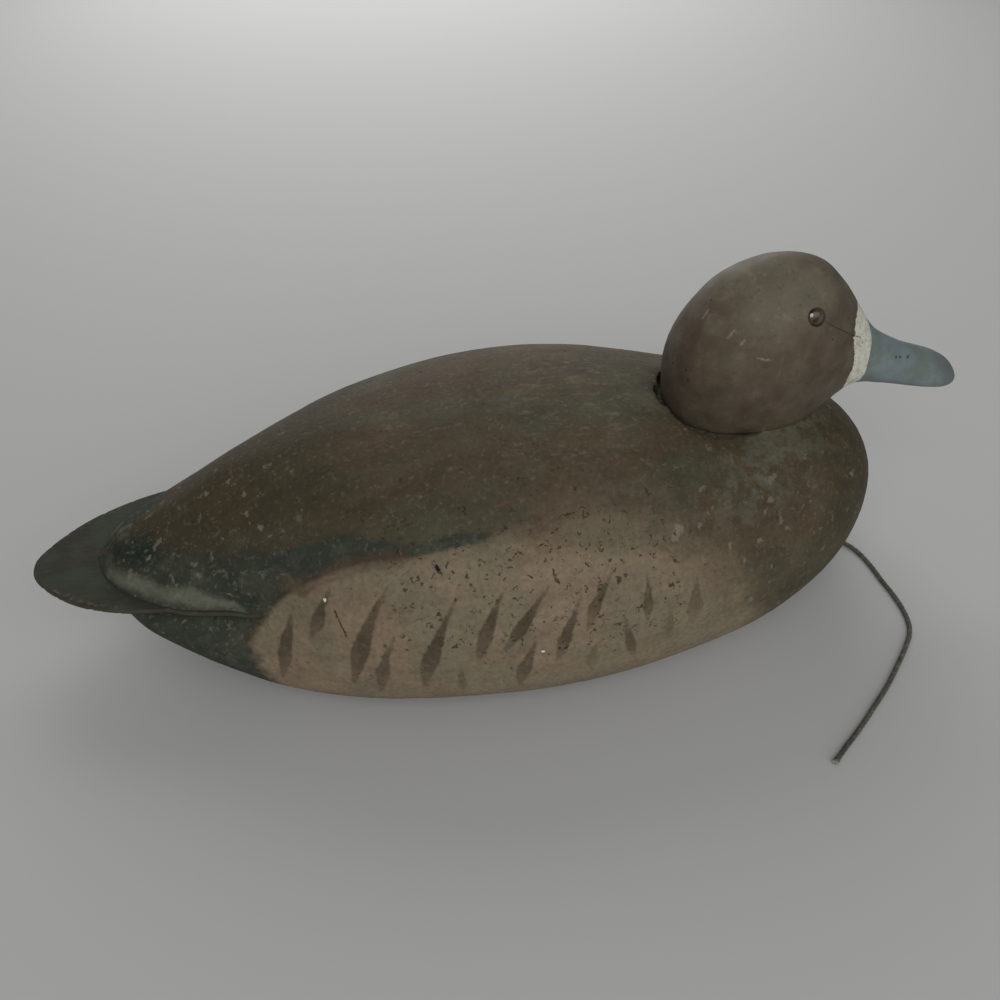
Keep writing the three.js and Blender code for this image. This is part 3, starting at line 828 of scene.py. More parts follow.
# What is painted and what is worn on the cork: points of length along the body and height
cork = {
    # the pale side pocket
    "pocket": [
        (-150, -30), (-140, 28), (-124, 47), (-114.5, 57), (-106, 68), (-97, 76.5), (-87, 82),
        (-75, 86.5), (-62, 89.5), (-47, 92), (-32, 95), (-18, 97.5), (-5, 99), (17, 99.5), (38, 97),
        (61, 89.5), (80, 77), (96, 57), (112, 30), (126, 0), (126, -30),
    ],
    "pocketSoft": (3.0, 30),  # its border's softness behind and ahead
    "pocketOut": 20,  # it starts this far out from the middle
    # flank feathers, brushed from the top down: the middle, the widest half width, and the strength
    "feathers": [
        ([(-101, 67), (-104.4, 57), (-107.6, 49), (-110, 40), (-112.5, 30)], 3.6, 0.9),
        ([(-83, 79), (-88.3, 70.6), (-91.7, 62.6), (-96, 54)], 3.0, 0.9),
        ([(-58.5, 82.5), (-65, 73.6), (-70.9, 63), (-75.5, 51), (-80.5, 33)], 4.4, 1.0),
        ([(-59, 61.5), (-63.9, 51), (-67, 40), (-68.5, 29)], 3.6, 0.75),
        ([(-32, 77.5), (-37.3, 68), (-42.3, 56.8), (-46.4, 45.4), (-49, 32)], 4.4, 1.0),
        ([(-32.3, 47), (-32.2, 27)], 2.6, 0.5),
        ([(-10.5, 82), (-15.7, 72.8), (-20, 62.7), (-24.5, 49)], 3.9, 1.0),
        ([(9, 82), (2, 73.8), (-5.3, 63.9), (-13, 53)], 3.5, 1.0),
        ([(2.3, 59), (-1.6, 49.6), (-5, 38.6), (-7, 29)], 4.1, 0.9),
        ([(22.8, 77.5), (18.6, 67.9), (14.1, 56.5), (10, 42)], 3.4, 1.0),
        ([(37.5, 83), (32.6, 76.6), (28.1, 69.8), (24, 58.5)], 3.3, 0.9),
        ([(29, 53), (26.4, 42.9), (26, 32)], 3.0, 0.45),
        ([(41, 63), (43.4, 49.8), (47.2, 33)], 2.9, 0.85),
        ([(53, 78), (52.4, 67), (52.4, 55)], 3.2, 0.85),
        ([(63.5, 61), (62.5, 41)], 2.9, 0.5),
        ([(76, 70), (75.3, 44)], 5.0, 0.6),
    ],
    # the dark wing edge running back into the dark side of the rump
    "dark": [
        (-210, 40), (-200, 52.5), (-190, 61), (-178, 67.5), (-166, 71), (-155, 73), (-141, 76.5),
        (-129, 79), (-119.5, 80.6), (-112.4, 83), (-99, 87.3), (-91, 90.2), (-85, 92.5), (-80, 94.6),
        (-74, 96), (-68, 96.3), (-63.4, 95.7), (-57.5, 95.6), (-50.8, 95.5), (-43.3, 95.9),
        (-35.5, 97.7), (-27.7, 99.3), (-20, 99.8), (-13, 99.3), (-15, 98.6), (-20.6, 97.4),
        (-28.3, 96.4), (-36, 94.7), (-43.8, 93.2), (-51.5, 92), (-59.2, 90.6), (-66.9, 89.2),
        (-74.7, 87.2), (-81, 84.5), (-87, 81.5), (-93.6, 78), (-101.4, 73.5), (-108, 68), (-112, 62.5),
        (-116.5, 57), (-122.5, 52), (-126, 47.5), (-123.5, 43), (-121, 37), (-119, 28), (-114, 18),
        (-106, -30), (-210, -30),
    ],
    "darkOut": ([-200, -150, -120], [-1, 14, 30]),  # how far out from the middle it starts, by length
    "darkSoft": 5,
    # its bluish green top edge, its brown lower edge, and the thinner paint over it
    "wingEdge": [(-121, 79.8), (-112.4, 82), (-99, 86.2), (-91, 89), (-84, 91.8)],
    "wingUnder": [(-50, 92.6), (-59, 90.4), (-70, 87.8), (-80, 84.4), (-90, 79.5), (-98, 75)],
    "wingHalo": [(-125, 84), (-105, 89), (-88, 95.5), (-70, 99), (-50, 99), (-30, 101.5), (-10, 102.5)],
    "ochre": [(-103, 76), (-95, 74.5)],
    # the pale greenish hollow above the tail board: greenish paint, lightened as painted light where it
    # faces up
    "hollow": [
        (-197, 52), (-191, 54), (-182.6, 55.8), (-172.7, 56), (-160.7, 56.6), (-149, 57), (-137.7, 57),
        (-124, 57), (-127.8, 61), (-138.7, 62.6), (-145, 64), (-152.5, 63), (-159.9, 61.5),
        (-164.3, 61.8), (-174.1, 61.4), (-184.5, 58.5), (-191, 56), (-197, 53.5),
    ],
    "hollowFade": 5,
    # the dark green patch over the tail's root
    "patch": [
        (-190, 61.5), (-184, 65.5), (-174, 70), (-165, 72), (-162, 69.5), (-166, 65.5), (-174, 63.8),
        (-184, 62),
    ],
    "tailEdge": [(-196.5, 54.5), (-191, 60), (-184, 66), (-176, 69.8)],  # worn paint where the cork ends
    # worn spots and tears on the right side, as points in space
    # the gouge is cut in the relief and painted near black as its shade; the split and the holes are painted
    # only, as shade
    "gouge": [(-38.9, -69.3, 91.6), (-36.8, -72, 88.8), (-34.9, -74.6, 86.2)],
    "gougeWidth": 1.1,
    "split": [(-82.9, -70.1, 69.9), (-82, -72, 67.2), (-80.9, -74.2, 64.2), (-79.4, -76.6, 59.9)],
    "splitRadius": 0.5,
    "chip": [(66.6, -70.2, 86), (70, -68.2, 89)],
    "chipWidth": 2.2,
    "holes": [
        (74.7, -68.4, 86.2), (-38.8, -71.2, 89.5), (-44.5, -74.5, 84.5), (-6.3, -74.9, 91.8),
        (-1.7, -73.3, 93.6), (8.4, -76.5, 90.5), (15.4, -73.6, 93.5), (28.5, -73.6, 92.6),
        (11.9, -80.9, 85), (-24.3, -78.7, 84), (-11.3, -78.2, 87), (-4, -84.7, 78), (-1, -91, 63.4),
        (-7.8, -91.7, 59), (-27.2, -90, 58), (36.4, -78, 86.3), (42.4, -81.7, 79.5), (50.1, -76.5, 85),
        (58.3, -82.5, 72.5), (66.1, -76.9, 79), (30.4, -87.3, 72.1), (46.2, -90.3, 55.1),
        (37.1, -92.9, 42.8), (-18.8, -72.8, 92.1), (-31.4, -81, 78.4), (-38.7, -84, 70.4),
        (-51.7, -74, 81.4), (-57.1, -77.5, 73.5), (-64.1, -44.1, 102.5), (-47.5, -35.5, 109.3),
        (-77.4, -21.6, 108.1), (-36, -47.5, 106.6), (-21.3, -37.1, 112), (-73.9, -70, 80.8),
        (8, -88.5, 66.9), (-63.9, -82, 55),
    ],
    "flecks": [(4.2, -93.7, 50.9), (-86.5, -66, 73.3)],
    "chips": [
        (80, -65.7, 86.9), (93.7, -70.2, 76), (100.9, -72.9, 67.5), (109.3, -66.8, 72.6),
        (117, -53.7, 83.9), (120.9, -59.5, 76), (95.7, -78.4, 57.8), (104.8, -77.9, 44.8),
        (88.2, -81.6, 52.7), (-160.5, -15.1, 73.2), (-163.2, -16.8, 70.9), (-166.5, -20.2, 67.7),
    ],
    "spotRadii": {"chips": 1.2, "holes": 0.7, "flecks": 0.75},
    # how a feather is brushed: its shape, how the paint runs out, and how far the other side's are shifted
    "brush": {
        "width": 0.9, "belly": 0.62, "tip": 0.1, "swell": 1.2, "end": 0.05, "close": 0.7,
        "dry": 0.54, "wet": 0.38, "spent": 1.15, "shift": 2, "out": 25, "seed": 12,
    },
    # where each tone or kind of wear sets in, and where it is full
    "zones": {
        "pocketAhead": ("along", -22, 35), "darkBehind": ("along", -105, -125),
        "hollowBehind": ("along", -187, -197), "flank": ("out", 30, 45),
        "pitsAhead": ("along", -95, -45), "pitsEnd": ("along", 95, 60), "pitsUp": ("up", 34, 54),
        "streaksUp": ("up", 107, 114), "scuffsAhead": ("along", 55, 100),
        "rumpBehind": ("along", -85, -115), "rumpUp": ("up", 45, 60), "rumpBelow": ("up", 92, 80),
        "rearBehind": ("along", -45, -120), "breastAhead": ("along", 138, 172), "breastUp": ("up", 50, 65),
        "foot": ("up", 9, 1), "rimEnd": ("along", 98, 116), "fillerAhead": ("along", 105, 125),
        "seamEnd": ("along", 118, 134),
    },
    "breastDark": 0.75,
    "streaks": (40, 38),  # along the ridge: the middle and the width
    "mossAlong": (118, 40),
    "mossUp": (92, 13),
    "pitting": {
        "least": 0.42, "more": 0.58, "inner": 0.6, "flank": 0.4, "backFrom": 103, "back": 0.62,
        "scuffs": 0.35, "breastScuffs": 0.9,
    },
    # round the head's pocket; the last two set the painted shade along its crevice: its width, and how much
    # it fades in front
    "pocketEdge": {"from": 80, "reach": 8, "seam": 1.3, "seamFade": 6},
    "relief": {
        "raspDepth": 0.9, "crumbDepth": 0.3, "pitDepth": 0.35, "gougeDepth": 2.2, "chipDepth": 0.5,
        "crumble": 1.8,
    },
    "reliefScales": {"raspScale": 26.0, "crumbScale": 240.0, "tornScale": 330.0},  # to the metre
    # colours that are mixed first, over the colour of the same name
    "mixes": {
        "pocket": [
            (worked, "pocketGrey", 30, 0.42, 0.6, 1.0, even, 1.3),
            (worked, "pocketRed", 20, 0.52, 0.68, 0.45, even, 6.1),
        ],
        "feather": [(worked, "rear", 9, 0.42, 0.62, 0.8, (1, 1, 0.5), 4.4)],
        "dark": [(worked, "darkGrey", 13, 0.48, 0.68, 0.9, even, 2.2, 4.0)],
    },
    "coats": [
        # the back
        (worked, "green", 48, 0.44, 0.6, 0.9, lengthwise),
        (worked, "red", 26, 0.5, 0.64, 0.8, lengthwise, 3.1),
        (worked, "green", 11, 0.54, 0.66, 0.6, lengthwise, 5.7, 5.0),
        (brushed, "rear", "rear", 1.0, 0.3, 20, 0.8),
        (brushed, "halo", "wingHalo", 9, 1.5, 12, 0.6),
        (worked, "mossy", 9, 0.42, 0.6, ("mossy", 0.85, 0.0), even, 2.6, 4.0),
        # the flank, the wing and the rump
        (brushed, "pocket", "pocket", 1.0, 0.16, 13),
        (brushed, "feather", "feather", 1.4, 0.45, 3.0, "featherTone"),
        (brushed, "dark", "dark", 1.6, 0.6, 5),
        (brushed, "under", ("wingUnder", 1.0, 2.6), 2.4, 1.0, 6, 0.45),
        (brushed, "ochre", ("ochre", 1.0, 2.6), 4, 1.4, 5, 0.6),
        (brushed, "teal", "wingEdge", 2.5, 0.8, 5, 0.6),
        # greenish paint, and painted light where the hollow faces up
        (brushed, "hollow", "hollow", 4.2, 1.3, 9, 0.72),
        (brushed, "patch", "patch", 6, 1.6, 7, 0.95),
        (brushed, "worn", "tailEdge", 2.2, 0.9, 4, 0.7),
        (shaded, 9, 0.18, (0.4, 1, 1), 1.7),
        (shaded, 2.2, 0.2),
        # streaks and specks
        (worked, "speckle", 2.8, 0.53, 0.66, ("streaked", 0.5, 0.0), (0.35, 1, 1), 4.9, 6.0),
        (worked, "speckle", 2.4, 0.56, 0.68, 0.42, even, 8.8, 5.0),
        (worked, "hole", 1.9, 0.6, 0.72, 0.5, even, 6.6, 4.0),
        # pale flakes where paint has worn, 1 to 5 mm across, and finer dust-like scuffs
        (worked, "scuff", 6, 0.6, 0.68, ("scuffing", 0.65, 0.0), even, 7.7, 8.0, 0.3),
        (worked, "flake", 2.3, 0.68, 0.75, ("scuffing", 0.65, 0.0), even, 9.9, 6.0, 0.3),
        (worked, "worn", 4.5, 0.57, 0.7, ("rump", 0.7, 0.0), (0.7, 1, 1), 1.1, 7.0, 0.5),
        (brushed, "scuff", "chips", 0.7, 1.4, 2.2, 0.6),
        (brushed, "flake", "chip", 0.8, 1.2, 2.5, 0.65),
        # filler, and painted shade along the crevice round the head
        (worked, "filler", 3.5, 0.45, 0.6, ("filler", 0.8, 0.0), even, 2.9, 6.0),
        (brushed, "hole", "seam", 1.2, 0.5, 2.0, 0.75),
    ],
    # laid after the pits are darkened: painted shade in the listed holes, the gouge and the split, then pale
    # flecks
    "marks": [
        (brushed, "hole", "holes", 0.6, 0.9, 1.5, 0.75),
        (brushed, "deep", "gouge", 0.5, 0.3, 2.0),
        (brushed, "hole", "split", 0.5, 0.4, 1.5, 0.85),
        (brushed, "fleck", "flecks", 0.4, 0.5, 1.5),
    ],
    "colours": {
        "back": "#554834", "green": "#504d3b", "red": "#56422f", "rear": "#3a3321",
        "pocket": "#7f6f5b", "pocketGrey": "#756b57", "pocketRed": "#7a6451", "feather": "#4f4231",
        "dark": "#31342b", "darkGrey": "#43463a", "teal": "#26403b", "halo": "#4e4c3d", "under": "#513c2d",
        "ochre": "#55462f", "hollow": "#6a6d5d", "patch": "#18271c", "worn": "#696757", "scuff": "#7a7263",
        "hole": "#33281b", "deep": "#120e0a", "fleck": "#d6d3c8", "speckle": "#6d6857", "flake": "#807868",
        "filler": "#666451", "mossy": "#5d5b4c",
    },
}


def featherGap(side, middle, halfWidth):
    # a brushed stroke: thin at the top, widest below its middle, and narrow again at its end
    brush = cork["brush"]
    gap, along = toLine(side, middle)
    rise = np.clip(along / brush["belly"], 0, 1) ** brush["swell"]
    fall = np.clip((1 - along) / (1 - brush["belly"]), 0, 1) ** brush["close"]
    tip = brush["tip"] + (1 - brush["tip"]) * rise
    end = brush["end"] + (1 - brush["end"]) * fall
    return brush["width"] * halfWidth * np.minimum(tip, end) - gap, along


def weighCork(mesh):
    # millimetres inside each painted shape, for the finish and the relief to read
    places = placesOf(mesh)
    x, y, z = places.T
    out = np.abs(y)
    side = np.column_stack([x, z])
    axes = {"along": x, "out": out, "up": z}
    zone = {name: smoothStep(axes[axis], *ends) for name, (axis, *ends) in cork["zones"].items()}
    weights = {}
    behind, ahead = cork["pocketSoft"]
    soft = behind + (ahead - behind) * zone["pocketAhead"]
    weights["pocket"] = np.where(out > cork["pocketOut"], inside(side, cork["pocket"]) / soft, -9)
    brush = cork["brush"]
    rng = np.random.default_rng(brush["seed"])
    best, tone = np.full(len(x), -99.0), np.zeros(len(x))
    for sign in (-1, 1):
        for middle, halfWidth, strength in cork["feathers"]:
            # the far side's strokes lie a little differently
            shift = rng.normal(0, brush["shift"], 2) if sign > 0 else 0
            gap, along = featherGap(side + shift, middle, halfWidth)
            gap = np.where(y * sign > brush["out"], gap, -99)
            # the brush ran dry at both ends
            load = brush["dry"] + brush["wet"] * np.sin(np.pi * np.clip(along * brush["spent"], 0, 1))
            tone = np.where(gap > best, strength * load, tone)
            best = np.maximum(best, gap)
    weights |= {"feather": best, "featherTone": tone}
    upper = out > np.interp(x, *cork["darkOut"])
    soft = 1 + cork["darkSoft"] * zone["darkBehind"]
    weights["dark"] = np.where(upper, inside(side, cork["dark"]) / soft, -9)
    for name in ("wingEdge", "wingUnder", "wingHalo", "ochre", "tailEdge"):
        weights[name] = -toLine(side, cork[name])[0]
    weights["hollow"] = inside(side, cork["hollow"]) - cork["hollowFade"] * zone["hollowBehind"]
    weights["patch"] = inside(side, cork["patch"])
    gap, along = toLine(places, cork["gouge"])
    weights["gouge"] = cork["gougeWidth"] * np.sin(np.pi * np.clip(along, 0.04, 0.96)) ** 0.7 - gap
    weights["chip"] = cork["chipWidth"] - toLine(places, cork["chip"])[0]
    # how thickly the pits and the pale scuffs lie
    lie = cork["pitting"]
    thick = lie["least"] + lie["more"] * zone["pitsAhead"] * zone["pitsEnd"] * zone["pitsUp"]
    thick = thick * (lie["inner"] + lie["flank"] * zone["flank"])
    weights["pitting"] = np.where(z > lie["backFrom"], lie["back"], thick)
    weights["streaked"] = hump((x, *cork["streaks"])) * zone["streaksUp"]
    rump = zone["rumpBehind"] * zone["rumpUp"]
    weights["scuffing"] = np.clip(lie["scuffs"] + lie["breastScuffs"] * zone["scuffsAhead"] + rump, 0, 1)
    weights["rump"] = rump * zone["rumpBelow"]
    weights["rear"] = zone["rearBehind"] + cork["breastDark"] * zone["breastAhead"] * zone["breastUp"]
    weights["foot"] = zone["foot"]
    weights["mossy"] = hump((x, *cork["mossAlong"]), (z, *cork["mossUp"]))
    # round the head's pocket: the torn rim behind, filler in front, and painted shade along the crevice
    edge = cork["pocketEdge"]
    outline = pocketOutline()
    gap, _ = toLine(places[:, :2], np.vstack([outline, outline[:1]]))
    near = np.where(z > edge["from"], np.clip(1 - gap / edge["reach"], 0, 1), 0)
    weights["rim"] = near * (1 - zone["rimEnd"])
    weights["filler"] = near * zone["fillerAhead"]
    weights["seam"] = np.where(z > edge["from"], edge["seam"] - gap, -9)
    weights["seam"] -= edge["seamFade"] * zone["seamEnd"]
    for name, values in weights.items():
        storeWeight(mesh, name, values)


def corkTree():
    # rasped, pitted and crumbling cork: moves the surface along its normal
    tree, given = newTree("corkRelief", cork["relief"] | cork["reliefScales"], {"material": "Material"})
    places = addNode(tree, "GeometryNodeInputPosition")
    read = {name: addNode(tree, "GeometryNodeInputNamedAttribute", {"Name": name}, data_type="FLOAT")
            for name in ("pitting", "rim", "foot", "gouge", "chip")}
    where = {"Geometry": given["Geometry"], "Name": "carvedAt", "Value": places}
    kept = addNode(tree, "GeometryNodeStoreNamedAttribute", where, data_type="FLOAT_VECTOR", domain="POINT")
    height = roughened(tree, places, 0.0, given["raspScale"], given["raspDepth"], 3.0)
    height = roughened(tree, places, height, given["crumbScale"], given["crumbDepth"], 3.0)
    ragged = {"Vector": places, "Scale": given["tornScale"], "Detail": 2.0}
    torn = addNode(tree, "ShaderNodeTexNoise", ragged)
    rim = addNode(tree, "ShaderNodeMath", {0: read["rim"], 1: 3.0}, operation="POWER")
    hollows = {
        "pitDepth": crevices(tree, places, read["pitting"]),
        "gougeDepth": addNode(tree, "ShaderNodeMapRange", {"Value": read["gouge"], "From Min": -0.2,
                                                           "From Max": 1.2}),
        "chipDepth": addNode(tree, "ShaderNodeMapRange", {"Value": read["chip"], "From Min": -0.3,
                                                          "From Max": 0.4}),
        "crumble": addNode(tree, "ShaderNodeMath", {0: rim, 1: torn}, operation="MULTIPLY"),
    }
    for depth, cover in hollows.items():
        cut = addNode(tree, "ShaderNodeMath", {0: cover, 1: given[depth]}, operation="MULTIPLY")
        height = addNode(tree, "ShaderNodeMath", {0: height, 1: cut}, operation="SUBTRACT")
    flat = addNode(tree, "ShaderNodeMath", {0: 1.0, 1: read["foot"]}, operation="SUBTRACT")
    height = addNode(tree, "ShaderNodeMath", {0: height, 1: flat}, operation="MULTIPLY")
    return closeTree(tree, raised(tree, kept, height), given["material"])


def paintedCork():
    # old oil paint, hand brushed on carved cork: flat and chalky, worn at the high spots, with painted shade
    # in the pits
    material, tree, colour = newFinish("paintedCork", cork["colours"])
    places = addNode(tree, "ShaderNodeAttribute", output="Vector", attribute_name="carvedAt")
    for name, coats in cork["mixes"].items():
        colour[name] = coated(tree, places, colour[name], colour, coats)
    gaps = {name: spotGap(tree, places, cork[name], radius) for name, radius in cork["spotRadii"].items()}
    gaps["split"] = strokeGap(tree, places, cork["split"], cork["splitRadius"])
    paint = coated(tree, places, colour["back"], colour, cork["coats"], gaps)
    # painted shade in the pits, where the relief cuts them
    holes = crevices(tree, places, weighed(tree, "pitting"))
    pitShade = addNode(tree, "ShaderNodeMath", {0: holes, 1: 0.85}, operation="MULTIPLY")
    paint = addNode(tree, "ShaderNodeMix", {0: pitShade, 6: paint, 7: colour["hole"]}, 2, data_type="RGBA")
    paint = coated(tree, places, paint, colour, cork["marks"], gaps)
    grain = addNode(tree, "ShaderNodeTexNoise", {"Vector": places, "Scale": 1 / (1.4 * mm), "Detail": 6.0})
    height = addNode(tree, "ShaderNodeMath", {0: holes, 1: -1.2, 2: grain}, operation="MULTIPLY_ADD")
    rough = addNode(tree, "ShaderNodeMapRange", {"Value": grain, "To Min": 0.66, "To Max": 0.86})
    closeFinish(tree, {"Base Color": paint, "Roughness": rough, "Specular IOR Level": 0.3}, height, 0.5)
    return material


def lineHole():
    # the small hole low in the breast that the line comes out of
    start, towards = [np.array(point) for point in line["route"][:2]]
    out = (towards - start) / np.linalg.norm(towards - start)
    beside = np.cross(out, (0, 1, 0))
    sides = line["holeSides"]
    laps = np.linspace(0, 2 * math.pi, sides, endpoint=False)[:, None]
    ring = line["holeRadius"] * (np.cos(laps) * beside + np.sin(laps) * np.cross(out, beside))
    vertices = np.vstack([start + ring - out * 0.3, start + ring + out * line["holeLength"]])
    faces = [[i, (i + 1) % sides, (i + 1) % sides + sides, i + sides] for i in range(sides)]
    faces += [list(range(sides)), list(range(sides, 2 * sides))]
    return outward(solid("lineHole", vertices, faces))


def corkBody():
    rear, front = [body["plan"][end][0] for end in (0, -1)]
    stations = spaced(rear + body["endInset"], front - body["endInset"], body["stations"])
    thing = loft("cork_body", [bodySection(x) for x in stations])
    pocket = prism("pocket", pocketOutline(),
                   lambda x: seatHeight(x) - seat["under"], lambda x: seat["over"])
    half = board["thickness"] / 2 + board["slotRoom"]
    inner = board["innerEnd"] + board["slotRoom"]
    outer, wide = board["slotOuter"]
    slot = prism("slot", [(outer, -wide), (inner, -wide), (inner, wide), (outer, wide)],
                 lambda x: boardMiddle(x) - half, lambda x: boardMiddle(x) + half)
    thing = cutWith(thing, [pocket, slot, lineHole()])
    weighCork(thing.data)
    values = {name: depth * mm for name, depth in cork["relief"].items()} | cork["reliefScales"]
    values["material"] = paintedCork()
    thing = growBy(thing, corkTree(), values)
    smooth(thing, body["sharp"])
    keep(thing, "body")


corkBody()


# What is painted, scratched and cracked on the head, on its right side
face = {
    "crack": [(143, 154.2), (148.6, 150), (154.5, 145.8), (160.2, 141.3), (166, 137.6)],
    "scratches": [
        [(102.5, -19.1, 155.1), (99.8, -19.4, 151.6)], [(106.2, -22.8, 151.9), (104.6, -22.9, 150)],
        [(111.8, -26.5, 144.3), (115, -27, 143.1), (118.1, -27.1, 142.8)],
        [(126, -25.5, 139.5), (129.5, -25.2, 138.9)],
        # the first of the next two streaks is rubbed paint, painted pale as its sheen
        [(95, -4.7, 156.9), (92.7, -5.8, 153.7)], [(120, -17, 168.5), (126, -16.5, 169.4)],
    ],
    "dots": [
        (81.4, -5.4, 130.9), (84.7, -13.9, 132.7), (85.4, -16.1, 128.7), (97, -1.5, 159.7),
        (148, -20.6, 144.9), (189.4, -8, 120.3), (191.6, -7.7, 119.7), (196.4, -6.6, 118.7),
        (196.0, -7.0, 118.3),
    ],
    "colours": {
        "brown": "#574636", "green": "#544d3a", "red": "#50392b", "low": "#322419", "margin": "#5e4430",
        "smear": "#7f725d", "pale": "#686252", "scratch": "#9a8f80", "band": "#c8c7b9",
        "bandShade": "#a7a596", "bill": "#778889", "billGreen": "#6e7b70", "tip": "#616767",
        "rim": "#3a3f3f", "dot": "#261f19", "crack": "#1c1510",
    },
    "crackRadius": 0.22,
    "scratchRadius": 0.4,
    "dotRadius": 0.55,
    "relief": {"depth": 0.8, "size": 16, "fineDepth": 0.12, "fineSize": 3},
    # where each tone sets in, and where it is full
    "zones": {
        "cheekBelow": ("up", 140, 108), "faceAhead": ("along", 128, 150), "tipAhead": ("along", 208, 224),
    },
    "faceDark": 0.7,
    # the pale crown, and behind it a rubbed spot, pale partly from worn paint and partly as painted sheen:
    # the middle and the widths along, up and across
    "pales": (((123, 167), (19, 9)), ((96, 153.5, -12), (4, 4, 5))),
    "wornAndSheen": 0.7,
    "billShadeHeight": 2.0,  # painted shade along the lower edge of the bill
    "billShadeFrom": 178,
    "mixes": {
        "pale": [(worked, "smear", 6, 0.53, 0.68, 0.7, even, 1.9, 6.0)],
        "band": [
            (worked, "bandShade", 3, 0.45, 0.72, 1.0, even, 5.0, 4.0),
            (worked, "margin", 1.1, 0.61, 0.67, 0.8, even, 6.0),
        ],
        "bill": [
            (worked, "billGreen", 9, 0.42, 0.62, 1.0, even, 3.3),
            (brushed, "tip", "tip", 1.0, 0.15, 6, 0.9),
            # painted shade along the bill's lower edge
            (brushed, "rim", "rim", 1.2, 0.4, 3, 0.85),
        ],
    },
    "coats": [
        (worked, "green", 24, 0.46, 0.62, 0.7),
        (worked, "red", 14, 0.46, 0.62, 0.9, even, 4.3),
        (brushed, "low", "low", 1.0, 0.12, 14, 0.9),
        # the pale crown, and the rubbed spot with its painted sheen
        (brushed, "pale", "light", 0.9, 0.15, 10, 0.85),
        (shaded, 8, 0.14, even, 2.4),
        (worked, "smear", 5, 0.62, 0.74, 0.4, (1, 1, 0.4), 8.1, 7.0, 0.8),
        (worked, "red", 3, 0.58, 0.7, 0.5, even, 7.1, 5.0),
        (brushed, "margin", "bandBack", 0.8, 0.5, 2.5, 0.7),
        (brushed, "band", ("bandBack", 1.0, -0.9), 0.35, 0.8, 1.8),
        (brushed, "bill", "bandFront", 0.3, 0.12, 2.0),
        (shaded, 1.5, 0.09),
    ],
    "marks": [
        (brushed, "dot", "dots", 0.4, 0.2, 1.0, 0.9),
        # the crack is painted only: a dark line of painted shade
        (brushed, "crack", "crack", 0.3, 0.12, 1.5, 0.75),
    ],
}


def weighHead(mesh):
    places = placesOf(mesh)
    x, y, z = places.T
    axes = {"along": x, "up": z}
    zone = {name: smoothStep(axes[axis], *ends) for name, (axis, *ends) in face["zones"].items()}
    crown, wornAndSheen = [hump(*zip((x, z, y), middle, width)) for middle, width in face["pales"]]
    weights = {name: x - headAt[name](z) for name in ("bandBack", "bandFront")}
    weights["low"] = np.clip(zone["cheekBelow"] + face["faceDark"] * zone["faceAhead"], 0, 1)
    weights["light"] = crown + face["wornAndSheen"] * wornAndSheen
    weights["tip"] = zone["tipAhead"]
    # painted shade along the bill's lower edge
    weights["rim"] = face["billShadeHeight"] - (z - headAt["bottom"](x)) - 20 * (x < face["billShadeFrom"])
    for name, values in weights.items():
        storeWeight(mesh, name, values)


def whittledTree():
    # the soft unevenness that a knife and sandpaper leave on a carved head
    tree, given = newTree("whittled", face["relief"], {"material": "Material"})
    places = addNode(tree, "GeometryNodeInputPosition")
    height = 0.0
    for depth, size in (("depth", "size"), ("fineDepth", "fineSize")):
        scale = addNode(tree, "ShaderNodeMath", {0: 1.0, 1: given[size]}, operation="DIVIDE")
        height = roughened(tree, places, height, scale, given[depth], 2.0)
    return closeTree(tree, raised(tree, given["Geometry"], height), given["material"])


def paintedHead():
    # oil paint on carved pine, rubbed to a low sheen where hands have held it
    material, tree, colour = newFinish("paintedHead", face["colours"])
    places = addNode(tree, "ShaderNodeTexCoord", output="Object")
    for name, coats in face["mixes"].items():
        colour[name] = coated(tree, places, colour[name], colour, coats)
    paint = coated(tree, places, colour["brown"], colour, face["coats"])
    # pale scratches; one is the painted sheen of a rubbed streak
    for scratch in face["scratches"]:
        gap = strokeGap(tree, places, scratch, face["scratchRadius"])
        paint = brushed(tree, places, paint, colour["scratch"], gap, 1.0, 0.5, 1.8, 0.5)
    course = throughAll(face["crack"], 2)
    course = np.column_stack([course[:, 0], -headHalf(course[:, 0], course[:, 1]), course[:, 1]])
    gaps = {
        "dots": spotGap(tree, places, face["dots"], face["dotRadius"]),
        "crack": strokeGap(tree, places, course, face["crackRadius"]),
    }
    paint = coated(tree, places, paint, colour, face["marks"], gaps)
    height = addNode(tree, "ShaderNodeTexNoise", {"Vector": places, "Scale": 1 / (1.2 * mm), "Detail": 5.0})
    worn = addNode(tree, "ShaderNodeTexNoise", {"Vector": places, "Scale": 1 / (12 * mm), "Detail": 4.0})
    rough = addNode(tree, "ShaderNodeMapRange", {"Value": worn, "From Min": 0.3, "From Max": 0.7,
                                                 "To Min": 0.54, "To Max": 0.72})
    closeFinish(tree, {"Base Color": paint, "Roughness": rough, "Specular IOR Level": 0.3}, height, 0.16)
    return material


# The glass eyes, let into shallow hollows
eye = {
    "glass": {"x": 137.7, "height": 156.5, "radius": 4, "thickness": 4, "sunk": 1.2},
    "hollow": {"x": 138.5, "height": 157.3, "radius": 4.8, "thickness": 6.0, "sunk": 0},
    "steps": 31,
    "glint": [(135.5, -20.7, 158.9)],  # a painted glint: a pale spot on the right one
    "glintRadius": 0.7,
    "rings": {"pupil": 0.34, "iris": 0.44, "irisEdge": 0.74, "rim": 0.96},  # as shares of the radius
    "colours": {
        "pupil": "#0a0806", "iris": "#47351c", "irisEdge": "#3f311d", "rim": "#2a2015", "film": "#463c2e",
        "glint": "#c4b9a6",
    },
    "coats": [
        (worked, "film", 2.6, 0.47, 0.56, 0.8, even, 1.2),
        # the painted glint on the right eye
        (brushed, "glint", "glint", 0.3, 0.4, 1.0),
    ],
}


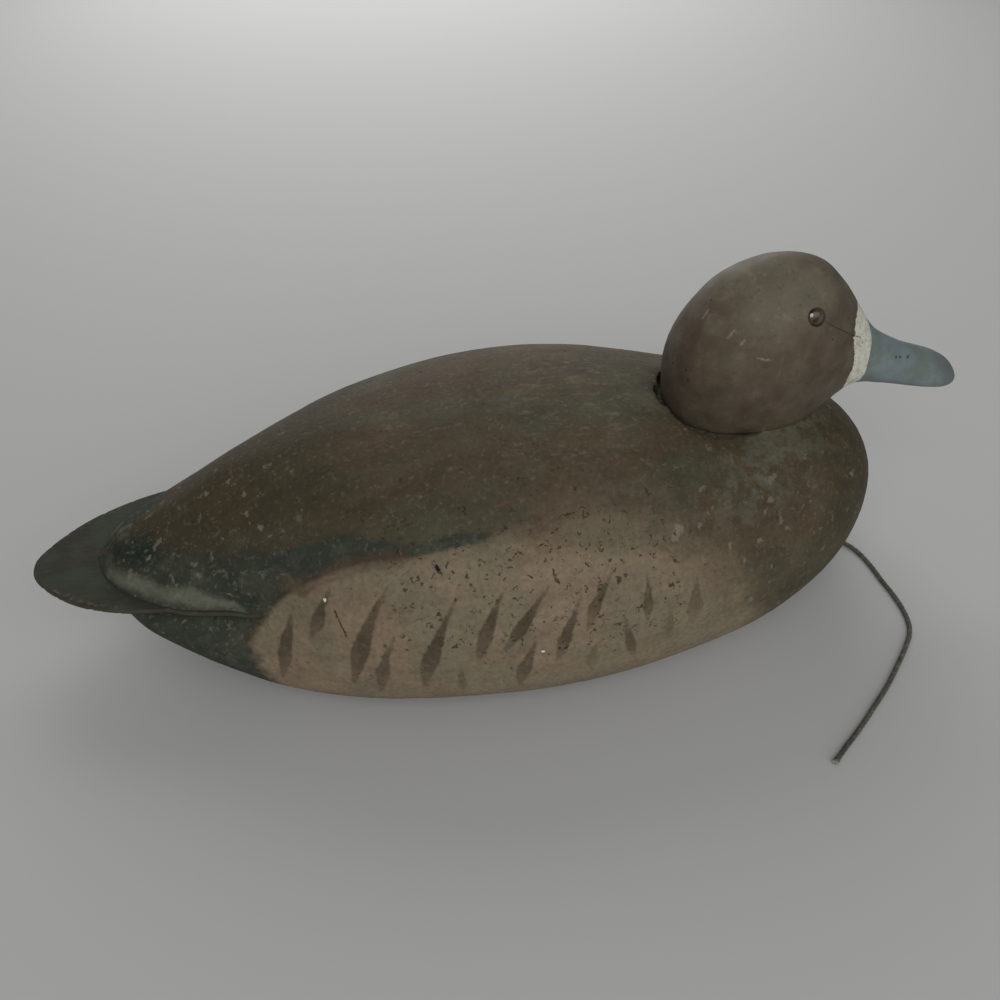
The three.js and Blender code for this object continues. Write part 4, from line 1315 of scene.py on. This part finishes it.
def ball(name, side, x, height, radius, thickness, sunk):
    # a ball pressed flat against the side of the head
    turns = np.linspace(0, math.pi, eye["steps"])[:, None]
    laps = np.linspace(math.pi / 2, -math.pi / 2, eye["steps"])[None, :]
    middle = np.array([x, side * (float(headHalf(x, height)) - sunk), height])
    across = radius * np.sin(turns) * np.cos(laps)
    points = np.stack([radius * np.cos(turns) + 0 * laps, across * thickness / (2 * radius),
                       radius * np.sin(turns) * np.sin(laps)], axis=-1)[1:-1]
    thing = loft(name, points)
    shift = np.tile(middle * mm, (len(thing.data.vertices), 1)) + placesOf(thing.data) * mm
    thing.data.vertices.foreach_set("co", shift.ravel())
    return outward(thing)


def woodenHead():
    rear, front = [head["top"][end][0] for end in (0, -1)]
    stations = spaced(rear + head["endInset"], front - head["endInset"], head["stations"], 0.5)
    thing = loft("wooden_head", [headSection(x) for x in stations])
    start, stop, wide, deep = head["cutAway"]
    below = prism("below", [(start, -wide), (stop, -wide), (stop, wide), (start, wide)], lambda x: deep,
                  seatHeight)
    hollows = [ball("hollow", side, **eye["hollow"]) for side in (-1, 1)]
    thing = cutWith(thing, [below] + hollows)
    weighHead(thing.data)
    values = {name: value * mm for name, value in face["relief"].items()} | {"material": paintedHead()}
    thing = growBy(thing, whittledTree(), values)
    smooth(thing, head["sharp"])
    keep(thing, "head")


woodenHead()


def glassEye():
    # old blown glass over a painted amber iris: a gloss dulled by brown paint, a black pupil and a dark rim
    material, tree, colour = newFinish("glassEye", eye["colours"])
    places = addNode(tree, "ShaderNodeTexCoord", output="Object")
    middle = (-eye["glass"]["x"] * mm, 0, -eye["glass"]["height"] * mm)
    near = addNode(tree, "ShaderNodeVectorMath", {0: places, 1: middle}, operation="ADD")
    flat = addNode(tree, "ShaderNodeVectorMath", {0: near, 1: (1, 0, 1)}, operation="MULTIPLY")
    radius = addNode(tree, "ShaderNodeVectorMath", {0: flat}, "Value", operation="LENGTH")
    out = addNode(tree, "ShaderNodeMapRange", {"Value": radius, "From Max": eye["glass"]["radius"] * mm})
    ramp = addNode(tree, "ShaderNodeValToRGB", {"Fac": out})
    stops = ramp.node.color_ramp.elements
    for number, (name, position) in enumerate(eye["rings"].items()):
        stop = stops[number] if number < 2 else stops.new(position)
        stop.position, stop.color = position, colour[name]
    # where the painted glint lies
    gaps = {"glint": spotGap(tree, places, eye["glint"], eye["glintRadius"])}
    paint = coated(tree, places, ramp, colour, eye["coats"], gaps)
    closeFinish(tree, {"Base Color": paint, "Roughness": 0.4, "Coat Weight": 0.4, "Coat Roughness": 0.08})
    return material


def glassEyes():
    glass = glassEye()
    for name, side in (("right", -1), ("left", 1)):
        thing = ball("glass_eye_" + name, side, **eye["glass"])
        thing.data.shade_smooth()
        keep(thing, "eye_" + name, glass)


glassEyes()


# The tail board, worn and chipped along its free edge
boardWear = {
    "near": [(-216, -15.5), (-207, -22.5), (-200, -27.5), (-192, -31.8), (-184, -35)],
    "far": [(-224.6, 4.9), (-216.8, 16.6), (-203, 25.8), (-190, 33), (-176, 38.4)],
    "chipped": 0.45,  # how deep the edge's small losses go
    "chippedTo": (-158, -165),
    "sound": 0.7,  # what is left whole between them, of the noise that makes them
    "seed": 31,
    "edgeWidth": 0.6,
    "stripWidth": 0.5,
    "stripRise": 0.6,
    "stripFrom": -188,
    "colours": {
        "dark": "#2f2e25", "green": "#34382d", "brown": "#443225", "pale": "#655b4c", "edge": "#4d493c",
        "strip": "#6a6a5c",
    },
    # small chips, mixed over the pale colour
    "mixes": {
        "chipsNear": [(brushed, "brown", "wornNear", 3, 1.0, 3)],
        "chipsFar": [(brushed, "brown", "wornFar", 3, 1.0, 3)],
    },
    "coats": [
        (worked, "green", 20, 0.42, 0.6),
        (worked, "brown", 3.5, 0.54, 0.68, 0.5, (0.12, 1, 1), 1.0, 5.0),
        (worked, "pale", 2.5, 0.66, 0.74, 0.5, (0.3, 1, 1), 3.0, 6.0),
        (shaded, 1.6, 0.16, (0.15, 1, 1)),
        (brushed, "chipsNear", "wornNear", 1.5, 2.4, 2.2, 0.55),
        (brushed, "chipsFar", "wornFar", 1.5, 2.4, 2.2, 0.35),
        (brushed, "edge", "edge", 0.6, 0.5, 4, 0.35),
        (brushed, "strip", "strip", 0.8, 0.4, 5, 0.15),
    ],
}
boardAt = through(board["outline"])


def boardHalf(x):
    inner, free = board["innerEnd"], board["freeEnd"]
    taper = board["taper"] * float(smoothStep(x, inner - board["taperLength"], inner))  # into the cork
    let = float(corkHalf(x, boardMiddle(x))) + board["flush"] - taper
    blend = float(smoothStep(x, free - board["blendLength"], free))
    return (1 - blend) * float(boardAt(x)) + blend * let


def wornWood():
    # thin dark paint on split pine: streaks of grain stand through, and the edge is rubbed to grey wood
    material, tree, colour = newFinish("paintedBoard", boardWear["colours"])
    places = addNode(tree, "ShaderNodeTexCoord", output="Object")
    for name, coats in boardWear["mixes"].items():
        colour[name] = coated(tree, places, colour["pale"], colour, coats)
    paint = coated(tree, places, colour["dark"], colour, boardWear["coats"])
    height = addNode(tree, "ShaderNodeTexNoise", {"Vector": places, "Scale": 1 / (1.3 * mm), "Detail": 5.0})
    closeFinish(tree, {"Base Color": paint, "Roughness": 0.68, "Specular IOR Level": 0.3}, height, 0.3)
    return material


def tailBoard():
    tip, free = board["outline"][0][0], board["freeEnd"]
    outside, let = board["stations"]
    stations = spaced(tip + 0.05, free, outside)
    stations = np.concatenate([stations, np.linspace(free + 0.6, board["innerEnd"], let)])
    rng = np.random.default_rng(boardWear["seed"])
    losses = np.convolve(rng.normal(0, 1, len(stations) + 6), np.hanning(7) / 2, "valid")
    losses = boardWear["chipped"] * np.clip(np.abs(losses) - boardWear["sound"], 0, 1)
    losses = losses * smoothStep(stations, *boardWear["chippedTo"])
    around, rounding = board["around"], board["rounding"]
    halves = []
    for x, loss in zip(stations, losses):
        half = max(boardHalf(x) - loss, 0.2)
        fromTip = min(math.sqrt(max(1 - (1 - min((x - tip) / rounding, 1)) ** 2, 0.02)), 1)
        y = half * np.linspace(0, 1, around) ** 0.6
        closeness = np.clip((half - y) / rounding, 0, 1)
        lift = board["thickness"] / 2 * fromTip * np.sqrt(1 - (1 - closeness) ** 2)
        top, bottom = [np.column_stack([np.full(around, x), y, boardMiddle(x) + rise])
                       for rise in (lift, -lift)]
        halves.append(np.vstack([top, bottom[::-1][1:]]))
    thing = loft("tail_panel", halves)
    places = placesOf(thing.data)
    x, y, z = places.T
    outline = np.array([(at, boardHalf(at)) for at in stations])
    strip = boardWear["stripWidth"] - np.abs(z - boardMiddle(x) - boardWear["stripRise"])
    weights = {
        "edge": boardWear["edgeWidth"] - toLine(np.column_stack([x, np.abs(y)]), outline)[0],
        "strip": np.where(x > boardWear["stripFrom"], strip, -9),
        "wornNear": -toLine(places[:, :2], boardWear["near"])[0],
        "wornFar": -toLine(places[:, :2], boardWear["far"])[0],
    }
    for name, values in weights.items():
        storeWeight(thing.data, name, values)
    smooth(thing, board["sharp"])
    keep(thing, "tail_board", wornWood())


tailBoard()


# A pale floor and soft, flat light: a low window behind, and the bright room in front
studio = {
    "floorReach": 4000,
    "floorColour": "#bcbcba",
    "air": (0.97, 0.98, 1.0),
    "airStrength": 0.19,
    "lamps": {
        "window": {"at": (0.05, 1.0, 0.6), "power": 8, "size": 1.1},
        "room": {"at": (-0.5, -1.1, 1.3), "power": 4.6, "size": 1.0},
        "roomLow": {"at": (0.35, -1.2, 0.6), "power": 11.5, "size": 1.8},
    },
}


def floorAndLight():
    reach = studio["floorReach"]
    floor = solid("floor", [(-reach, -reach, 0), (reach, -reach, 0), (reach, reach, 0), (-reach, reach, 0)],
                  [(0, 1, 2, 3)])
    material, tree, colour = newFinish("paleFloor", {"floor": studio["floorColour"]})
    closeFinish(tree, {"Base Color": colour["floor"], "Roughness": 0.9})
    floor.data.materials.append(material)
    world = bpy.data.worlds.new("studio")
    world.use_nodes = True
    air = world.node_tree.nodes["Background"].inputs
    air["Color"].default_value = (*studio["air"], 1)
    air["Strength"].default_value = studio["airStrength"]
    bpy.context.scene.world = world
    for name, lamp in studio["lamps"].items():
        light = bpy.data.lights.new(name, "AREA")
        light.energy = lamp["power"]
        light.size = lamp["size"]
        thing = placed(name, light)
        thing.location = lamp["at"]
        x, y, z = np.array(lamp["at"]) / np.linalg.norm(lamp["at"])
        thing.rotation_euler = (math.acos(z), 0, math.atan2(y, x) + math.pi / 2)
    bpy.context.scene.view_settings.view_transform = "Standard"
    print("floor and light done")


floorAndLight()
